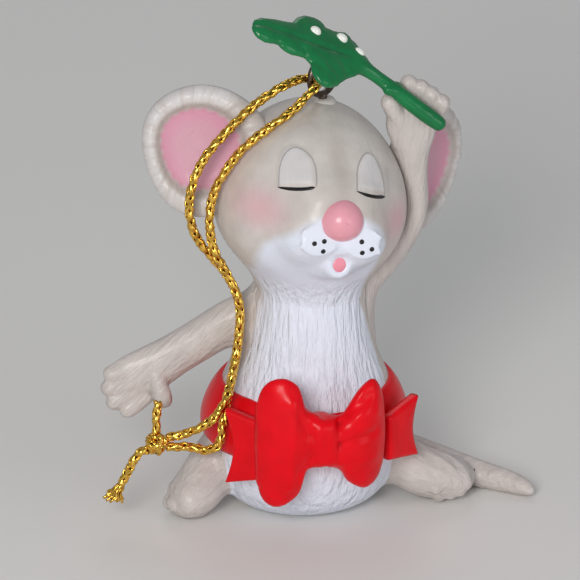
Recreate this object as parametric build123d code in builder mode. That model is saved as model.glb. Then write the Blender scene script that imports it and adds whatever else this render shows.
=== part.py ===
# A seated mouse ornament with a sash and bow, holding a leaf sprig over its own
# head, with a hanging cord on a screw eye. Millimetres, +Z up. The mouse faces -Y
# and rests on Z = 0. Right and left are the mouse's own, so its right is -X.
import os
from math import cos, pi, radians, sin, tan

from build123d import *

os.makedirs("parts", exist_ok=True)

# Fits and shared counts
fit = 0.08
overrun = 4.0
skin_sides = 20
limb_sides = 12
small_sides = 8
between_rows = 2
let_in_rings = 9

# Torso, from the floor to the flat seat of the neck
torso_height = 33.5
torso_width = 25.4
torso_depth = 24.8
torso_lean = 0.8
# Each row: height, half-width, half-depth, forward shift, lean
torso_shares = [
    (0.000, 0.54, 0.54, 0.000, 0.00),
    (0.036, 0.75, 0.75, 0.004, 0.00),
    (0.105, 0.90, 0.90, 0.010, 0.00),
    (0.210, 0.98, 0.99, 0.016, 0.02),
    (0.290, 1.00, 1.00, 0.018, 0.05),
    (0.380, 0.97, 0.97, 0.018, 0.10),
    (0.510, 0.86, 0.86, 0.020, 0.25),
    (0.630, 0.72, 0.74, 0.022, 0.45),
    (0.750, 0.62, 0.66, 0.024, 0.65),
    (0.870, 0.56, 0.62, 0.020, 0.85),
    (1.000, 0.54, 0.60, 0.014, 1.00),
]
neck_peg_radius = 2.5
neck_peg_length = 4.0

# Head, drawn in sections square to the line from its back to the muzzle
head_center = (0.8, -1.0, 43.2)
head_width = 25.0
head_height = 24.2
head_length = 26.6
head_roll = 10
head_pitch = 8
# Each row: place along the head from its middle, half-width, half-height, rise, pinch
head_shares = [
    (-0.460, 0.10, 0.10, 0.04, 0.00),
    (-0.440, 0.30, 0.30, 0.04, 0.00),
    (-0.390, 0.56, 0.56, 0.03, 0.03),
    (-0.300, 0.78, 0.78, 0.02, 0.06),
    (-0.180, 0.94, 0.94, 0.01, 0.09),
    (-0.030, 1.00, 1.00, 0.00, 0.12),
    (0.120, 0.97, 0.97, -0.01, 0.13),
    (0.250, 0.87, 0.87, -0.03, 0.13),
    (0.345, 0.71, 0.72, -0.06, 0.12),
    (0.420, 0.58, 0.57, -0.10, 0.10),
    (0.485, 0.45, 0.44, -0.10, 0.05),
    (0.530, 0.32, 0.31, -0.08, 0.02),
    (0.552, 0.16, 0.15, -0.06, 0.00),
]
nose_radius = 3.3
nose_drop = 0.6
nose_forward = 14.9
nose_sink = 1.5
nose_pinch_share = -0.12
nose_peg_radius = 0.9
nose_peg_length = 2.0
mouth_radius = 1.15
mouth_aside = 0.8
mouth_drop = 6.6
mouth_forward = 12.9
mouth_length = 2.4

# Ears, oval dishes let into the sides of the head
ear_height = 17.4
ear_width = 16.4
ear_thickness = 2.8
ear_rim = 2.1
ear_hollow = 1.3
ear_rounding = 0.9
right_ear_out = 14.6
right_ear_rise = 3.9
right_ear_back = 1.6
right_ear_splay = 20
left_ear_out = 15.9
left_ear_rise = 3.7
left_ear_back = 3.6
left_ear_splay = 42
ear_pinch_share = -0.13
# Each row: place through the ear's thickness, share of the rounding taken off
ear_back_shares = [
    (-0.50, 1.00),
    (-0.42, 0.45),
    (-0.25, 0.10),
    (0.00, 0.00),
    (0.25, 0.05),
    (0.42, 0.40),
    (0.50, 0.90),
]
# Each row: depth into the hollow, share of the rim between it and the outline
ear_hollow_shares = [(1.00, 2.10), (0.85, 1.55), (0.45, 1.15), (0.00, 0.95)]

# Right arm, held low and away from the body
shoulder_peg_radius = 1.5
shoulder_peg_length = 2.6
low_shoulder = (-6.0, 0.8, 26.6)
low_arm_reach = 19.6
low_arm_setback = 2.2
low_arm_drop = 10.4
low_arm_width = 6.0
low_arm_depth = 5.0
# Each row: outward, back, down, width, depth
low_arm_shares = [
    (0.00, 0.00, 0.00, 0.96, 0.96),
    (0.10, 0.10, 0.07, 0.96, 0.96),
    (0.20, 0.22, 0.16, 0.96, 0.96),
    (0.36, 0.48, 0.35, 0.94, 0.90),
    (0.55, 0.76, 0.57, 0.96, 0.82),
    (0.72, 0.94, 0.76, 1.10, 0.76),
    (0.84, 1.00, 0.88, 1.16, 0.64),
    (0.92, 1.00, 0.95, 1.04, 0.50),
]
finger_width = 2.3
thumb_width = 2.4
finger_length = 4.0
# Each finger and last the thumb, root then tip: across the paw, through it, along it
low_finger_shares = [
    ((0.25, -0.02, -0.56), (0.42, -0.01, 0.26)),
    ((-0.01, -0.02, -0.39), (0.14, -0.01, 0.55)),
    ((-0.26, -0.07, -0.38), (-0.22, -0.06, 0.61)),
    ((-0.46, -0.13, -0.63), (-0.54, -0.14, 0.33)),
    ((-0.09, -0.33, -1.20), (-0.75, -0.49, -1.03)),
]

# Left arm, raised past the head to hold the sprig
raised_shoulder = (6.0, 0.4, 23.6)
raised_arm_out = 8.6
raised_arm_forward = 4.2
raised_arm_rise = 31.0
raised_arm_width = 6.6
raised_arm_depth = 6.2
# Each row: outward, forward, up, width, depth
raised_arm_shares = [
    (0.00, 0.00, 0.000, 0.97, 0.97),
    (0.09, 0.06, 0.105, 0.85, 0.90),
    (0.23, 0.16, 0.197, 0.73, 0.80),
    (0.52, 0.35, 0.287, 0.61, 0.70),
    (0.78, 0.51, 0.380, 0.52, 0.62),
    (0.94, 0.63, 0.471, 0.47, 0.58),
    (1.00, 0.68, 0.565, 0.47, 0.58),
    (0.95, 0.75, 0.705, 0.53, 0.60),
    (0.91, 0.84, 0.800, 0.72, 0.60),
    (0.90, 0.92, 0.874, 0.94, 0.56),
    (0.89, 0.96, 0.945, 1.07, 0.50),
    (0.93, 0.98, 0.995, 0.92, 0.40),
]
# Each finger above the stem and last the thumb, as for the lowered paw
raised_finger_shares = [
    ((-0.13, 0.21, -0.14), (-0.29, 0.01, 1.00)),
    ((0.09, 0.17, -0.14), (-0.03, -0.05, 0.94)),
    ((0.29, 0.14, -0.25), (0.21, -0.11, 0.80)),
    ((0.44, 0.10, -0.39), (0.48, -0.16, 0.61)),
    ((-0.09, 0.00, -0.78), (-0.68, -0.11, 0.28)),
]

# Legs, splayed on the floor with the feet turned out
hip_peg_radius = 1.6
hip_peg_length = 2.6
leg_width = 6.6
leg_height = 6.6
right_hip = (-8.6, -0.2, 8.0)
right_leg_reach = 10.0
right_leg_forward = 3.4
right_leg_drop = 5.5
left_hip = (8.6, -2.6, 7.0)
left_leg_reach = 12.0
left_leg_forward = 3.2
left_leg_drop = 4.4
# Each row: outward, forward, down, width, height
right_leg_shares = [
    (0.00, 0.00, 0.00, 1.00, 1.00),
    (0.12, 0.08, 0.04, 1.02, 1.02),
    (0.30, 0.26, 0.14, 1.04, 1.04),
    (0.48, 0.50, 0.52, 1.06, 1.04),
    (0.68, 0.76, 0.86, 1.12, 0.96),
    (0.87, 0.94, 1.00, 1.02, 0.78),
    (0.96, 1.00, 1.05, 0.76, 0.54),
    (1.00, 1.02, 1.06, 0.44, 0.30),
]
left_leg_shares = [
    (0.00, 0.00, 0.00, 0.98, 0.98),
    (0.08, 0.14, 0.05, 0.98, 0.98),
    (0.30, 0.56, 0.38, 0.98, 0.98),
    (0.56, 0.92, 0.76, 1.08, 0.98),
    (0.80, 0.94, 0.92, 1.14, 0.90),
    (0.93, 0.84, 0.98, 1.00, 0.72),
    (1.00, 0.76, 1.02, 0.68, 0.46),
]
toe_width = 2.2
toe_length = 4.0
# Each toe, root then tip: across the foot, through it, along it
right_toe_shares = [
    ((0.29, 0.02, -0.68), (0.35, 0.12, 0.08)),
    ((0.12, 0.05, -0.71), (0.07, 0.15, 0.00)),
    ((0.02, 0.06, -0.91), (-0.13, 0.16, -0.25)),
    ((0.00, 0.08, -1.16), (-0.24, 0.18, -0.63)),
]
left_toe_shares = [
    ((0.26, -0.20, -1.29), (-0.24, -0.32, -1.19)),
    ((0.19, -0.15, -0.92), (-0.24, -0.26, -0.68)),
    ((0.20, -0.11, -0.66), (-0.13, -0.21, -0.21)),
    ((0.26, -0.10, -0.47), (0.04, -0.15, 0.16)),
]
# Each row of a finger or toe: place along it, share of its width
finger_row_shares = [(0.00, 0.86), (0.45, 1.00), (0.76, 0.95), (0.92, 0.70), (1.00, 0.34)]

# Tail, let into the back and laid round to the mouse's left
tail_root = (5.2, 8.6, 6.2)
tail_reach = 23.4
tail_curl = 17.6
tail_drop = 5.2
tail_width = 4.7
tail_peg_radius = 1.1
tail_peg_length = 2.4
# Each row: outward, back, down, width, height
tail_shares = [
    (0.00, 0.00, 0.00, 1.00, 1.00),
    (0.05, 0.06, 0.09, 1.00, 1.00),
    (0.20, 0.09, 0.37, 0.93, 0.93),
    (0.40, -0.05, 0.62, 0.85, 0.85),
    (0.59, -0.32, 0.76, 0.78, 0.78),
    (0.75, -0.59, 0.84, 0.70, 0.70),
    (0.89, -0.78, 0.91, 0.60, 0.60),
    (0.97, -0.92, 0.97, 0.46, 0.46),
    (1.00, -0.99, 1.00, 0.24, 0.24),
]

# Sash round the hips and the bow on its front
sash_low = 9.6
sash_height = 7.6
sash_thickness = 1.25
bow_center = (-1.7, -13.2, 14.6)
bow_knot_width = 3.2
bow_knot_height = 6.2
bow_knot_depth = 5.0
bow_knot_corner = 0.9
bow_knot_edge = 0.6
bow_loop_reach = 7.2
bow_loop_depth = 4.2
right_loop_height = 17.4
left_loop_height = 14.6
bow_loop_out = 3.0
bow_loop_rake = 1.6
# Each row: outward, height above the middle, height below it, thickness, rake back
right_loop_shares = [
    (0.00, 0.42, 0.38, 0.62, 0.00),
    (0.10, 0.56, 0.48, 0.76, 0.02),
    (0.22, 0.81, 0.73, 0.90, 0.06),
    (0.40, 0.97, 0.90, 1.00, 0.14),
    (0.57, 1.00, 1.00, 1.00, 0.30),
    (0.75, 0.92, 0.97, 0.86, 0.56),
    (0.89, 0.72, 0.80, 0.60, 0.82),
    (1.00, 0.42, 0.46, 0.26, 1.00),
]
left_loop_shares = [
    (0.00, 0.33, 0.50, 0.62, 0.00),
    (0.10, 0.38, 0.66, 0.76, 0.02),
    (0.22, 0.49, 0.84, 0.90, 0.06),
    (0.40, 0.79, 0.96, 1.00, 0.14),
    (0.57, 0.95, 1.00, 1.00, 0.30),
    (0.75, 1.00, 0.93, 0.86, 0.56),
    (0.89, 0.80, 0.74, 0.60, 0.82),
    (1.00, 0.46, 0.44, 0.26, 1.00),
]
bow_tail_angle = 37.5
bow_tail_distance = 14.2
bow_tail_thickness = 1.3
bow_tail_inset = 1.6
bow_tail_length = 4.6
bow_tail_notch = 1.1
right_tail_height = 10.4
right_tail_middle = 12.2
left_tail_height = 8.4
left_tail_middle = 12.4
bow_tail_root_share = 0.72

# Screw eye on the crown of the head
crown_center = (2.8, 0.6)
pad_radius = 1.8
pad_bottom = 54.1
pad_height = 1.3
pad_edge = 0.4
eye_radius = 2.4
eye_wire = 0.9
eye_turn = 32.6
screw_radius = 0.5
screw_length = 6.0

# Leaf sprig, one flat moulding with its stem
sprig_center = (5.8, -4.5, 61.8)
sprig_slope = 33
sprig_tilt = 56
leaf_thickness = 1.7
leaf_length = 16.0
leaf_width = 9.6
stem_length = 13.4
stem_width = 2.0
stem_droop = 12
# Each corner of the leaf's body: place along the leaf, place across it
leaf_body_shares = [
    (-0.86, -0.16),
    (-0.30, -0.30),
    (0.10, -0.10),
    (0.10, 0.12),
    (-0.30, 0.32),
    (-0.86, 0.02),
]
# Each lobe: place along the leaf, place across it, radius of its round end
leaf_lobe_shares = [
    (-0.865, -0.09, 0.22),
    (-0.640, -0.20, 0.18),
    (-0.480, 0.27, 0.24),
    (-0.270, -0.34, 0.26),
    (-0.120, 0.27, 0.22),
]
berry_radius = 0.85
# Each berry: place along the leaf and across it
berry_shares = [(-0.42, 0.10), (-0.22, 0.16), (-0.02, 0.14)]

# Hanging cord: two strands from its fold round the ring to the knot, then its ends
cord_radius = 0.65
cord_sides = 6
fold_gap = 0.18
bend_share = 0.45
back_route = [
    (-1.24, -0.46, 58.5),
    (-3.71, -1.28, 57.95),
    (-7.44, -2.15, 56.16),
    (-11.24, -2.78, 53.02),
    (-14.77, -4.38, 50.23),
    (-16.44, -4.09, 45.5),
    (-15.98, -3.38, 40.7),
    (-13.96, -2.88, 37.2),
    (-11.14, -2.4, 33.9),
    (-8.98, -2.36, 29.3),
    (-9.33, -2.68, 24.3),
    (-10.19, -3.38, 20.5),
    (-11.72, -6.07, 17.75),
    (-12.79, -7.55, 14.5),
    (-13.17, -7.45, 11.4),
    (-14.85, -6.69, 10.5),
    (-17.2, -6.15, 11.43),
    (-19.98, -6.15, 11.43),
]
front_route = [
    (0.14, -2.62, 57.4),
    (-1.89, -3.53, 55.84),
    (-5.09, -4.43, 54.28),
    (-8.94, -4.23, 51.66),
    (-11.88, -3.65, 47.67),
    (-13.54, -3.83, 43.99),
    (-13.54, -3.9, 40.06),
    (-13.04, -3.96, 37.4),
    (-11.5, -3.74, 34.46),
    (-9.34, -3.7, 29.86),
    (-9.69, -4.02, 24.86),
    (-10.55, -4.72, 21.06),
    (-12.08, -7.41, 18.31),
    (-13.8, -8.31, 15.9),
    (-15.88, -7.55, 14.28),
    (-17.99, -6.15, 12.87),
    (-19.98, -6.15, 12.87),
]
end_route = [(-22.58, -6.2, 11.4), (-23.8, -6.2, 11.4), (-25.03, -5.6, 8.4), (-25.9, -5.3, 6.6)]
stub_route = [(-21.4, -6.1, 13.63), (-21.4, -6.1, 15.6), (-21.0, -5.6, 17.8)]
knot_center = (-21.28, -6.15, 12.13)
knot_width = 2.6
knot_height = 3.0
knot_depth = 2.4
knot_edge = 0.5
fringe_length = 2.4
fringe_radius = 1.3
fringe_waist_share = 0.7
# Each row of a ball: share of a quarter turn from its base to its top
ball_shares = [0.0, 0.25, 0.5, 0.72, 0.9]


def smoothed(rows):
    """Rows of a table with more set between them, so each column runs smoothly."""
    filled = []
    for place, (here, after) in enumerate(zip(rows, rows[1:])):
        before = rows[max(place - 1, 0)]
        beyond = rows[min(place + 2, len(rows) - 1)]
        for step in range(between_rows):
            part = step / between_rows
            filled.append(
                tuple(
                    b + (c - a) / 2 * part + (a - 5 * b / 2 + 2 * c - d / 2) * part**2
                    + (3 * b - a - 3 * c + d) / 2 * part**3
                    for a, b, c, d in zip(before, here, after, beyond)
                )
            )
    return filled + [rows[-1]]


def ring(plane, half_width, half_height, sides, pinch=0.0):
    """The corners of an oval on a plane, narrower at the top by pinch."""
    corners = []
    for step in range(sides):
        turn = 2 * pi * step / sides
        across = half_width * cos(turn) * (1 - pinch * sin(turn))
        corners.append(plane.from_local_coords(Vector(across, half_height * sin(turn), 0)))
    return corners


def skin(rings):
    """A closed solid of flat facets laid over matching rings of corners."""
    facets = [list(reversed(rings[0])), rings[-1]]
    for lower, upper in zip(rings, rings[1:]):
        for place in range(len(lower)):
            beyond = (place + 1) % len(lower)
            facets.append([lower[place], lower[beyond], upper[beyond]])
            facets.append([lower[place], upper[beyond], upper[place]])
    return Solid(Shell([Face(Wire.make_polygon(facet, close=True)) for facet in facets]))


def oval(plane, half_width, half_height, sides):
    """A flat oval face of straight sides on a plane."""
    return Face(Wire.make_polygon(ring(plane, half_width, half_height, sides), close=True))


def square_planes(points, side):
    """A plane at each point, square to the line of points, X nearest to side."""
    planes = []
    for place, here in enumerate(points):
        before = points[max(place - 1, 0)]
        after = points[min(place + 1, len(points) - 1)]
        along = (Vector(*after) - Vector(*before)).normalized()
        across = along.cross(side).cross(along)
        planes.append(Plane(Vector(*here), x_dir=across, z_dir=along))
    return planes


def limb_planes(root, span, shares, side):
    """Planes along a limb from its root, over the span that its shares divide."""
    points = [
        tuple(start + length * share for start, length, share in zip(root, span, row))
        for row in smoothed(shares)
    ]
    return square_planes(points, side)


def limb(planes, shares, width, depth, growth=0.0, rings=None):
    """A limb, or its first few rings, thicker all round by growth."""
    return skin(
        [
            ring(plane, width / 2 * row[3] + growth, depth / 2 * row[4] + growth, limb_sides)
            for plane, row in list(zip(planes, smoothed(shares)))[:rings]
        ]
    )


def finger(paw, ends, paw_width, paw_depth, length, width):
    """A rounded finger or toe on a paw's last plane, swelling before its tip."""
    start, end = (
        paw.from_local_coords(Vector(paw_width * across, paw_depth * through, length * along))
        for across, through, along in ends
    )
    places = [tuple(start + (end - start) * along) for along, _ in finger_row_shares]
    rings = []
    for plane, (_, share) in zip(square_planes(places, Vector(0, 1, 0)), finger_row_shares):
        rings.append(ring(plane, width / 2 * share, width / 2 * share, small_sides))
    return skin(rings)


def ball(plane, radius, sides, pinch=0.0):
    """The half of a ball that stands on a plane."""
    rings = []
    for share in ball_shares:
        turn = pi / 2 * share
        level = radius * cos(turn)
        rings.append(ring(plane.offset(radius * sin(turn)), level, level, sides, pinch))
    return skin(rings)


def torso_skin(growth=0.0):
    """The torso over its level rings, wider all round by growth."""
    rings = []
    for height, width, depth, shift, lean in smoothed(torso_shares):
        middle = Plane((torso_lean * lean, -torso_depth * shift, torso_height * height))
        half_width = torso_width / 2 * width + growth
        half_depth = torso_depth / 2 * depth + growth
        rings.append(ring(middle, half_width, half_depth, skin_sides))
    return skin(rings)


# The head's own frame: X to the mouse's left, Y up the head, Z out of the face
roll = radians(head_roll)
pitch = radians(head_pitch)
head_frame = Plane(
    head_center,
    x_dir=(cos(roll), 0, -sin(roll)),
    z_dir=(sin(roll) * sin(pitch), -cos(pitch), cos(roll) * sin(pitch)),
)


def in_head(across, up, forward, turn=0):
    """A plane in the head's frame, turned about the head's upright line."""
    return Plane(head_frame.location * Location((across, up, forward), (0, turn, 0)))


def ear_ring(plane, growth=0.0):
    """The corners of an ear's oval outline, larger all round by growth."""
    return ring(plane, ear_width / 2 + growth, ear_height / 2 + growth, skin_sides, ear_pinch_share)


neck_plane = Plane((torso_lean, -torso_depth * torso_shares[-1][3], torso_height))
floor = Plane((0, 0, 0))
low_arm_planes = limb_planes(
    low_shoulder, (-low_arm_reach, low_arm_setback, -low_arm_drop), low_arm_shares, Vector(0, 0, 1)
)
raised_arm_planes = limb_planes(
    raised_shoulder,
    (raised_arm_out, -raised_arm_forward, raised_arm_rise),
    raised_arm_shares,
    Vector(1, 0, 0),
)
right_leg_planes = limb_planes(
    right_hip, (-right_leg_reach, -right_leg_forward, -right_leg_drop), right_leg_shares, Vector(0, 1, 0)
)
left_leg_planes = limb_planes(
    left_hip, (left_leg_reach, -left_leg_forward, -left_leg_drop), left_leg_shares, Vector(0, 1, 0)
)
tail_planes = limb_planes(tail_root, (tail_reach, tail_curl, -tail_drop), tail_shares, Vector(0, 0, 1))

# Every limb: its planes, shares, width and depth, then its peg's radius and length
limbs = (
    (low_arm_planes, low_arm_shares, low_arm_width, low_arm_depth, shoulder_peg_radius, shoulder_peg_length),
    (
        raised_arm_planes,
        raised_arm_shares,
        raised_arm_width,
        raised_arm_depth,
        shoulder_peg_radius,
        shoulder_peg_length,
    ),
    (right_leg_planes, right_leg_shares, leg_width, leg_height, hip_peg_radius, hip_peg_length),
    (left_leg_planes, left_leg_shares, leg_width, leg_height, hip_peg_radius, hip_peg_length),
    (tail_planes, tail_shares, tail_width, tail_width, tail_peg_radius, tail_peg_length),
)

# The torso is hollowed where each limb is let in, with a socket for its peg
with BuildPart() as torso:
    add(torso_skin())
    for planes, shares, width, depth, peg_radius, peg_length in limbs:
        add(limb(planes, shares, width, depth, fit, let_in_rings), mode=Mode.SUBTRACT)
        socket = oval(planes[0], peg_radius + fit, peg_radius + fit, small_sides)
        extrude(socket, amount=-(peg_length + fit), mode=Mode.SUBTRACT)
    extrude(oval(neck_plane, neck_peg_radius, neck_peg_radius, limb_sides), amount=neck_peg_length)
torso.part.label = "torso"
export_step(torso.part, "parts/torso.step")

# The head is cut flat where it sits on the neck and opened for what it carries
pad_plane = Plane((*crown_center, pad_bottom))
nose_plane = in_head(0, -nose_drop, nose_forward - nose_sink)
right_ear_plane = in_head(-right_ear_out, right_ear_rise, -right_ear_back, -right_ear_splay)
left_ear_plane = in_head(left_ear_out, left_ear_rise, -left_ear_back, left_ear_splay)
with BuildPart() as head:
    add(
        skin(
            [
                ring(
                    in_head(0, head_height / 2 * rise, head_length * along),
                    head_width / 2 * width,
                    head_height / 2 * height,
                    skin_sides,
                    pinch,
                )
                for along, width, height, rise, pinch in smoothed(head_shares)
            ]
        )
    )
    split(bisect_by=neck_plane, keep=Keep.TOP)
    socket_radius = neck_peg_radius + fit
    neck_socket = oval(neck_plane, socket_radius, socket_radius, limb_sides)
    extrude(neck_socket, amount=neck_peg_length + fit, mode=Mode.SUBTRACT)
    for plane in (right_ear_plane, left_ear_plane):
        back = plane.offset(-ear_thickness / 2 - fit)
        pocket = Face(Wire.make_polygon(ear_ring(back, fit), close=True))
        extrude(pocket, amount=ear_thickness + 2 * fit, mode=Mode.SUBTRACT)
    arm_room = limb(raised_arm_planes, raised_arm_shares, raised_arm_width, raised_arm_depth, fit)
    add(arm_room, mode=Mode.SUBTRACT)
    pad_hole = pad_radius + fit
    extrude(oval(pad_plane, pad_hole, pad_hole, skin_sides), amount=overrun, mode=Mode.SUBTRACT)
    screw_hole = screw_radius + fit
    extrude(oval(pad_plane, screw_hole, screw_hole, small_sides), amount=-screw_length, mode=Mode.SUBTRACT)
    nose_hole = ring(nose_plane, nose_radius + fit, nose_radius + fit, limb_sides, nose_pinch_share)
    extrude(Face(Wire.make_polygon(nose_hole, close=True)), amount=overrun, mode=Mode.SUBTRACT)
    peg_hole = nose_peg_radius + fit
    nose_socket = oval(nose_plane, peg_hole, peg_hole, small_sides)
    extrude(nose_socket, amount=-(nose_peg_length + fit), mode=Mode.SUBTRACT)
    mouth_plane = in_head(mouth_aside, -mouth_drop, mouth_forward)
    mouth = oval(mouth_plane, mouth_radius, mouth_radius, limb_sides)
    extrude(mouth, amount=-mouth_length, mode=Mode.SUBTRACT)
head.part.label = "head"
export_step(head.part, "parts/head.step")

with BuildPart() as nose:
    add(ball(nose_plane, nose_radius, limb_sides, nose_pinch_share))
    extrude(oval(nose_plane, nose_peg_radius, nose_peg_radius, small_sides), amount=-nose_peg_length)
nose.part.label = "nose"
export_step(nose.part, "parts/nose.step")

# Each ear is a dish with a rounded rim, its inner edge held in the head's pocket, and
# the left one is hollowed behind the raised arm
for plane, ear_name in ((right_ear_plane, "ear_right"), (left_ear_plane, "ear_left")):
    front = plane.offset(ear_thickness / 2)
    with BuildPart() as ear:
        add(
            skin(
                [
                    ear_ring(plane.offset(ear_thickness * through), -ear_rounding * taken)
                    for through, taken in ear_back_shares
                ]
            )
        )
        hollow = [
            ear_ring(front.offset(-ear_hollow * deep), -ear_rim * inward)
            for deep, inward in ear_hollow_shares
        ]
        add(skin(hollow), mode=Mode.SUBTRACT)
        add(arm_room, mode=Mode.SUBTRACT)
    ear.part.label = ear_name
    export_step(ear.part, f"parts/{ear_name}.step")

# The sprig's own frame: X down the stem, Y across the leaf, Z out of its upper face
slope = radians(sprig_slope)
tilt = radians(sprig_tilt)
sprig_frame = Plane(
    sprig_center,
    x_dir=(cos(slope), 0, -sin(slope)),
    z_dir=(sin(tilt) * sin(slope), -cos(tilt), sin(tilt) * cos(slope)),
)
stem_frame = Plane(sprig_frame.location * Location((0, 0, 0), (0, 0, -stem_droop)))


def stem_bar(growth=0.0):
    """The stem's bar with round ends, thicker all round by growth."""
    with BuildPart() as bar:
        with BuildSketch(stem_frame.offset(-leaf_thickness / 2 - growth)):
            with Locations((stem_length / 2, 0)):
                SlotOverall(stem_length + stem_width + 2 * growth, stem_width + 2 * growth)
        extrude(amount=leaf_thickness + 2 * growth)
    return bar.part


# The lowered arm ends in an open paw with a thumb under it
with BuildPart() as lowered_arm:
    add(limb(low_arm_planes, low_arm_shares, low_arm_width, low_arm_depth))
    for ends in low_finger_shares:
        width = thumb_width if ends == low_finger_shares[-1] else finger_width
        add(finger(low_arm_planes[-1], ends, low_arm_width, low_arm_depth, finger_length, width))
    peg = oval(low_arm_planes[0], shoulder_peg_radius, shoulder_peg_radius, small_sides)
    extrude(peg, amount=-shoulder_peg_length)
lowered_arm.part.label = "lowered_arm"
export_step(lowered_arm.part, "parts/lowered_arm.step")

# The raised arm passes beside the cheek, and its paw is grooved for the stem
with BuildPart() as raised_arm:
    add(limb(raised_arm_planes, raised_arm_shares, raised_arm_width, raised_arm_depth))
    for ends in raised_finger_shares:
        width = thumb_width if ends == raised_finger_shares[-1] else finger_width
        add(finger(raised_arm_planes[-1], ends, raised_arm_width, raised_arm_depth, finger_length, width))
    peg = oval(raised_arm_planes[0], shoulder_peg_radius, shoulder_peg_radius, small_sides)
    extrude(peg, amount=-shoulder_peg_length)
    add(stem_bar(fit), mode=Mode.SUBTRACT)
raised_arm.part.label = "raised_arm"
export_step(raised_arm.part, "parts/raised_arm.step")

# Both legs are cut flat where they stand on the floor
for leg_name, planes, shares, toes in (
    ("leg_right", right_leg_planes, right_leg_shares, right_toe_shares),
    ("leg_left", left_leg_planes, left_leg_shares, left_toe_shares),
):
    with BuildPart() as leg:
        add(limb(planes, shares, leg_width, leg_height))
        for ends in toes:
            add(finger(planes[-1], ends, leg_width, leg_height, toe_length, toe_width))
        extrude(oval(planes[0], hip_peg_radius, hip_peg_radius, small_sides), amount=-hip_peg_length)
        split(bisect_by=floor, keep=Keep.TOP)
    leg.part.label = leg_name
    export_step(leg.part, f"parts/{leg_name}.step")

with BuildPart() as tail:
    add(limb(tail_planes, tail_shares, tail_width, tail_width))
    extrude(oval(tail_planes[0], tail_peg_radius, tail_peg_radius, small_sides), amount=-tail_peg_length)
    split(bisect_by=floor, keep=Keep.TOP)
tail.part.label = "tail"
export_step(tail.part, "parts/tail.step")

# The sash follows the hips and is cut flat in front for the knot of the bow
bow_frame = Plane(bow_center, x_dir=(1, 0, 0), z_dir=(0, -1, 0))
with BuildPart() as sash:
    add(torso_skin(sash_thickness))
    add(torso_skin(fit), mode=Mode.SUBTRACT)
    with BuildSketch(Plane.XY.offset(sash_low)):
        Rectangle(2 * torso_width, 2 * torso_depth)
    extrude(amount=sash_height, mode=Mode.INTERSECT)
    with BuildSketch(bow_frame):
        Rectangle(bow_knot_width + 2 * fit, torso_height)
    extrude(amount=overrun, mode=Mode.SUBTRACT)
    for planes, shares in ((right_leg_planes, right_leg_shares), (left_leg_planes, left_leg_shares)):
        add(limb(planes, shares, leg_width, leg_height, fit, let_in_rings), mode=Mode.SUBTRACT)
sash.part.label = "sash"
export_step(sash.part, "parts/sash.step")

with BuildPart() as bow_knot:
    with BuildSketch(bow_frame):
        Rectangle(bow_knot_width, bow_knot_height)
    extrude(amount=bow_knot_depth)
    chamfer(bow_knot.edges().filter_by(Axis.Y), bow_knot_corner)
    chamfer(bow_knot.faces().sort_by(Axis.Y)[0].edges(), bow_knot_edge)
bow_knot.part.label = "bow_knot"
export_step(bow_knot.part, "parts/bow_knot.step")

# Each loop swells from the side of the knot and turns back toward the body
for side, loop_name, loop_height, shares in (
    (-1, "bow_loop_right", right_loop_height, right_loop_shares),
    (1, "bow_loop_left", left_loop_height, left_loop_shares),
):
    rings = []
    for out, above, below, thickness, rake in shares:
        place = (
            bow_center[0] + side * (bow_knot_width / 2 + bow_loop_reach * out),
            bow_center[1] - bow_loop_out + bow_loop_rake * rake,
            bow_center[2] + loop_height / 4 * (above - below),
        )
        across = Plane(place, x_dir=(0, -side, 0), z_dir=(side, 0, 0))
        half_height = loop_height / 4 * (above + below)
        rings.append(ring(across, bow_loop_depth / 2 * thickness, half_height, limb_sides))
    with BuildPart() as bow_loop:
        add(skin(rings))
    bow_loop.part.label = loop_name
    export_step(bow_loop.part, f"parts/{loop_name}.step")

# Each tail of the bow is a flat piece laid on the sash, flared to a notched end
for side, tail_name, height, middle in (
    (-1, "bow_tail_right", right_tail_height, right_tail_middle),
    (1, "bow_tail_left", left_tail_height, left_tail_middle),
):
    turn = radians(bow_tail_angle)
    outward = Vector(side * sin(turn), -cos(turn), 0)
    along = Vector(side * cos(turn), sin(turn), 0)
    place = outward * bow_tail_distance + Vector(0, 0, middle)
    root = height / 2 * bow_tail_root_share
    with BuildPart() as bow_tail:
        with BuildSketch(Plane(place, x_dir=along, z_dir=outward)):
            with BuildLine():
                Polyline(
                    (bow_tail_length, -height / 2),
                    (-bow_tail_inset, -root),
                    (-bow_tail_inset, root),
                    (bow_tail_length, height / 2),
                )
                ThreePointArc(
                    (bow_tail_length, height / 2),
                    (bow_tail_length - bow_tail_notch, 0),
                    (bow_tail_length, -height / 2),
                )
            make_face()
        extrude(amount=bow_tail_thickness)
    bow_tail.part.label = tail_name
    export_step(bow_tail.part, f"parts/{tail_name}.step")

# The pale pad on the crown carries the screw eye
with BuildPart() as eye_pad:
    with BuildSketch(pad_plane):
        RegularPolygon(pad_radius, skin_sides)
        RegularPolygon(screw_radius + fit, small_sides, mode=Mode.SUBTRACT)
    extrude(amount=pad_height)
    chamfer(eye_pad.faces().sort_by(Axis.Z)[-1].outer_wire().edges(), pad_edge)
eye_pad.part.label = "eye_pad"
export_step(eye_pad.part, "parts/eye_pad.step")

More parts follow.
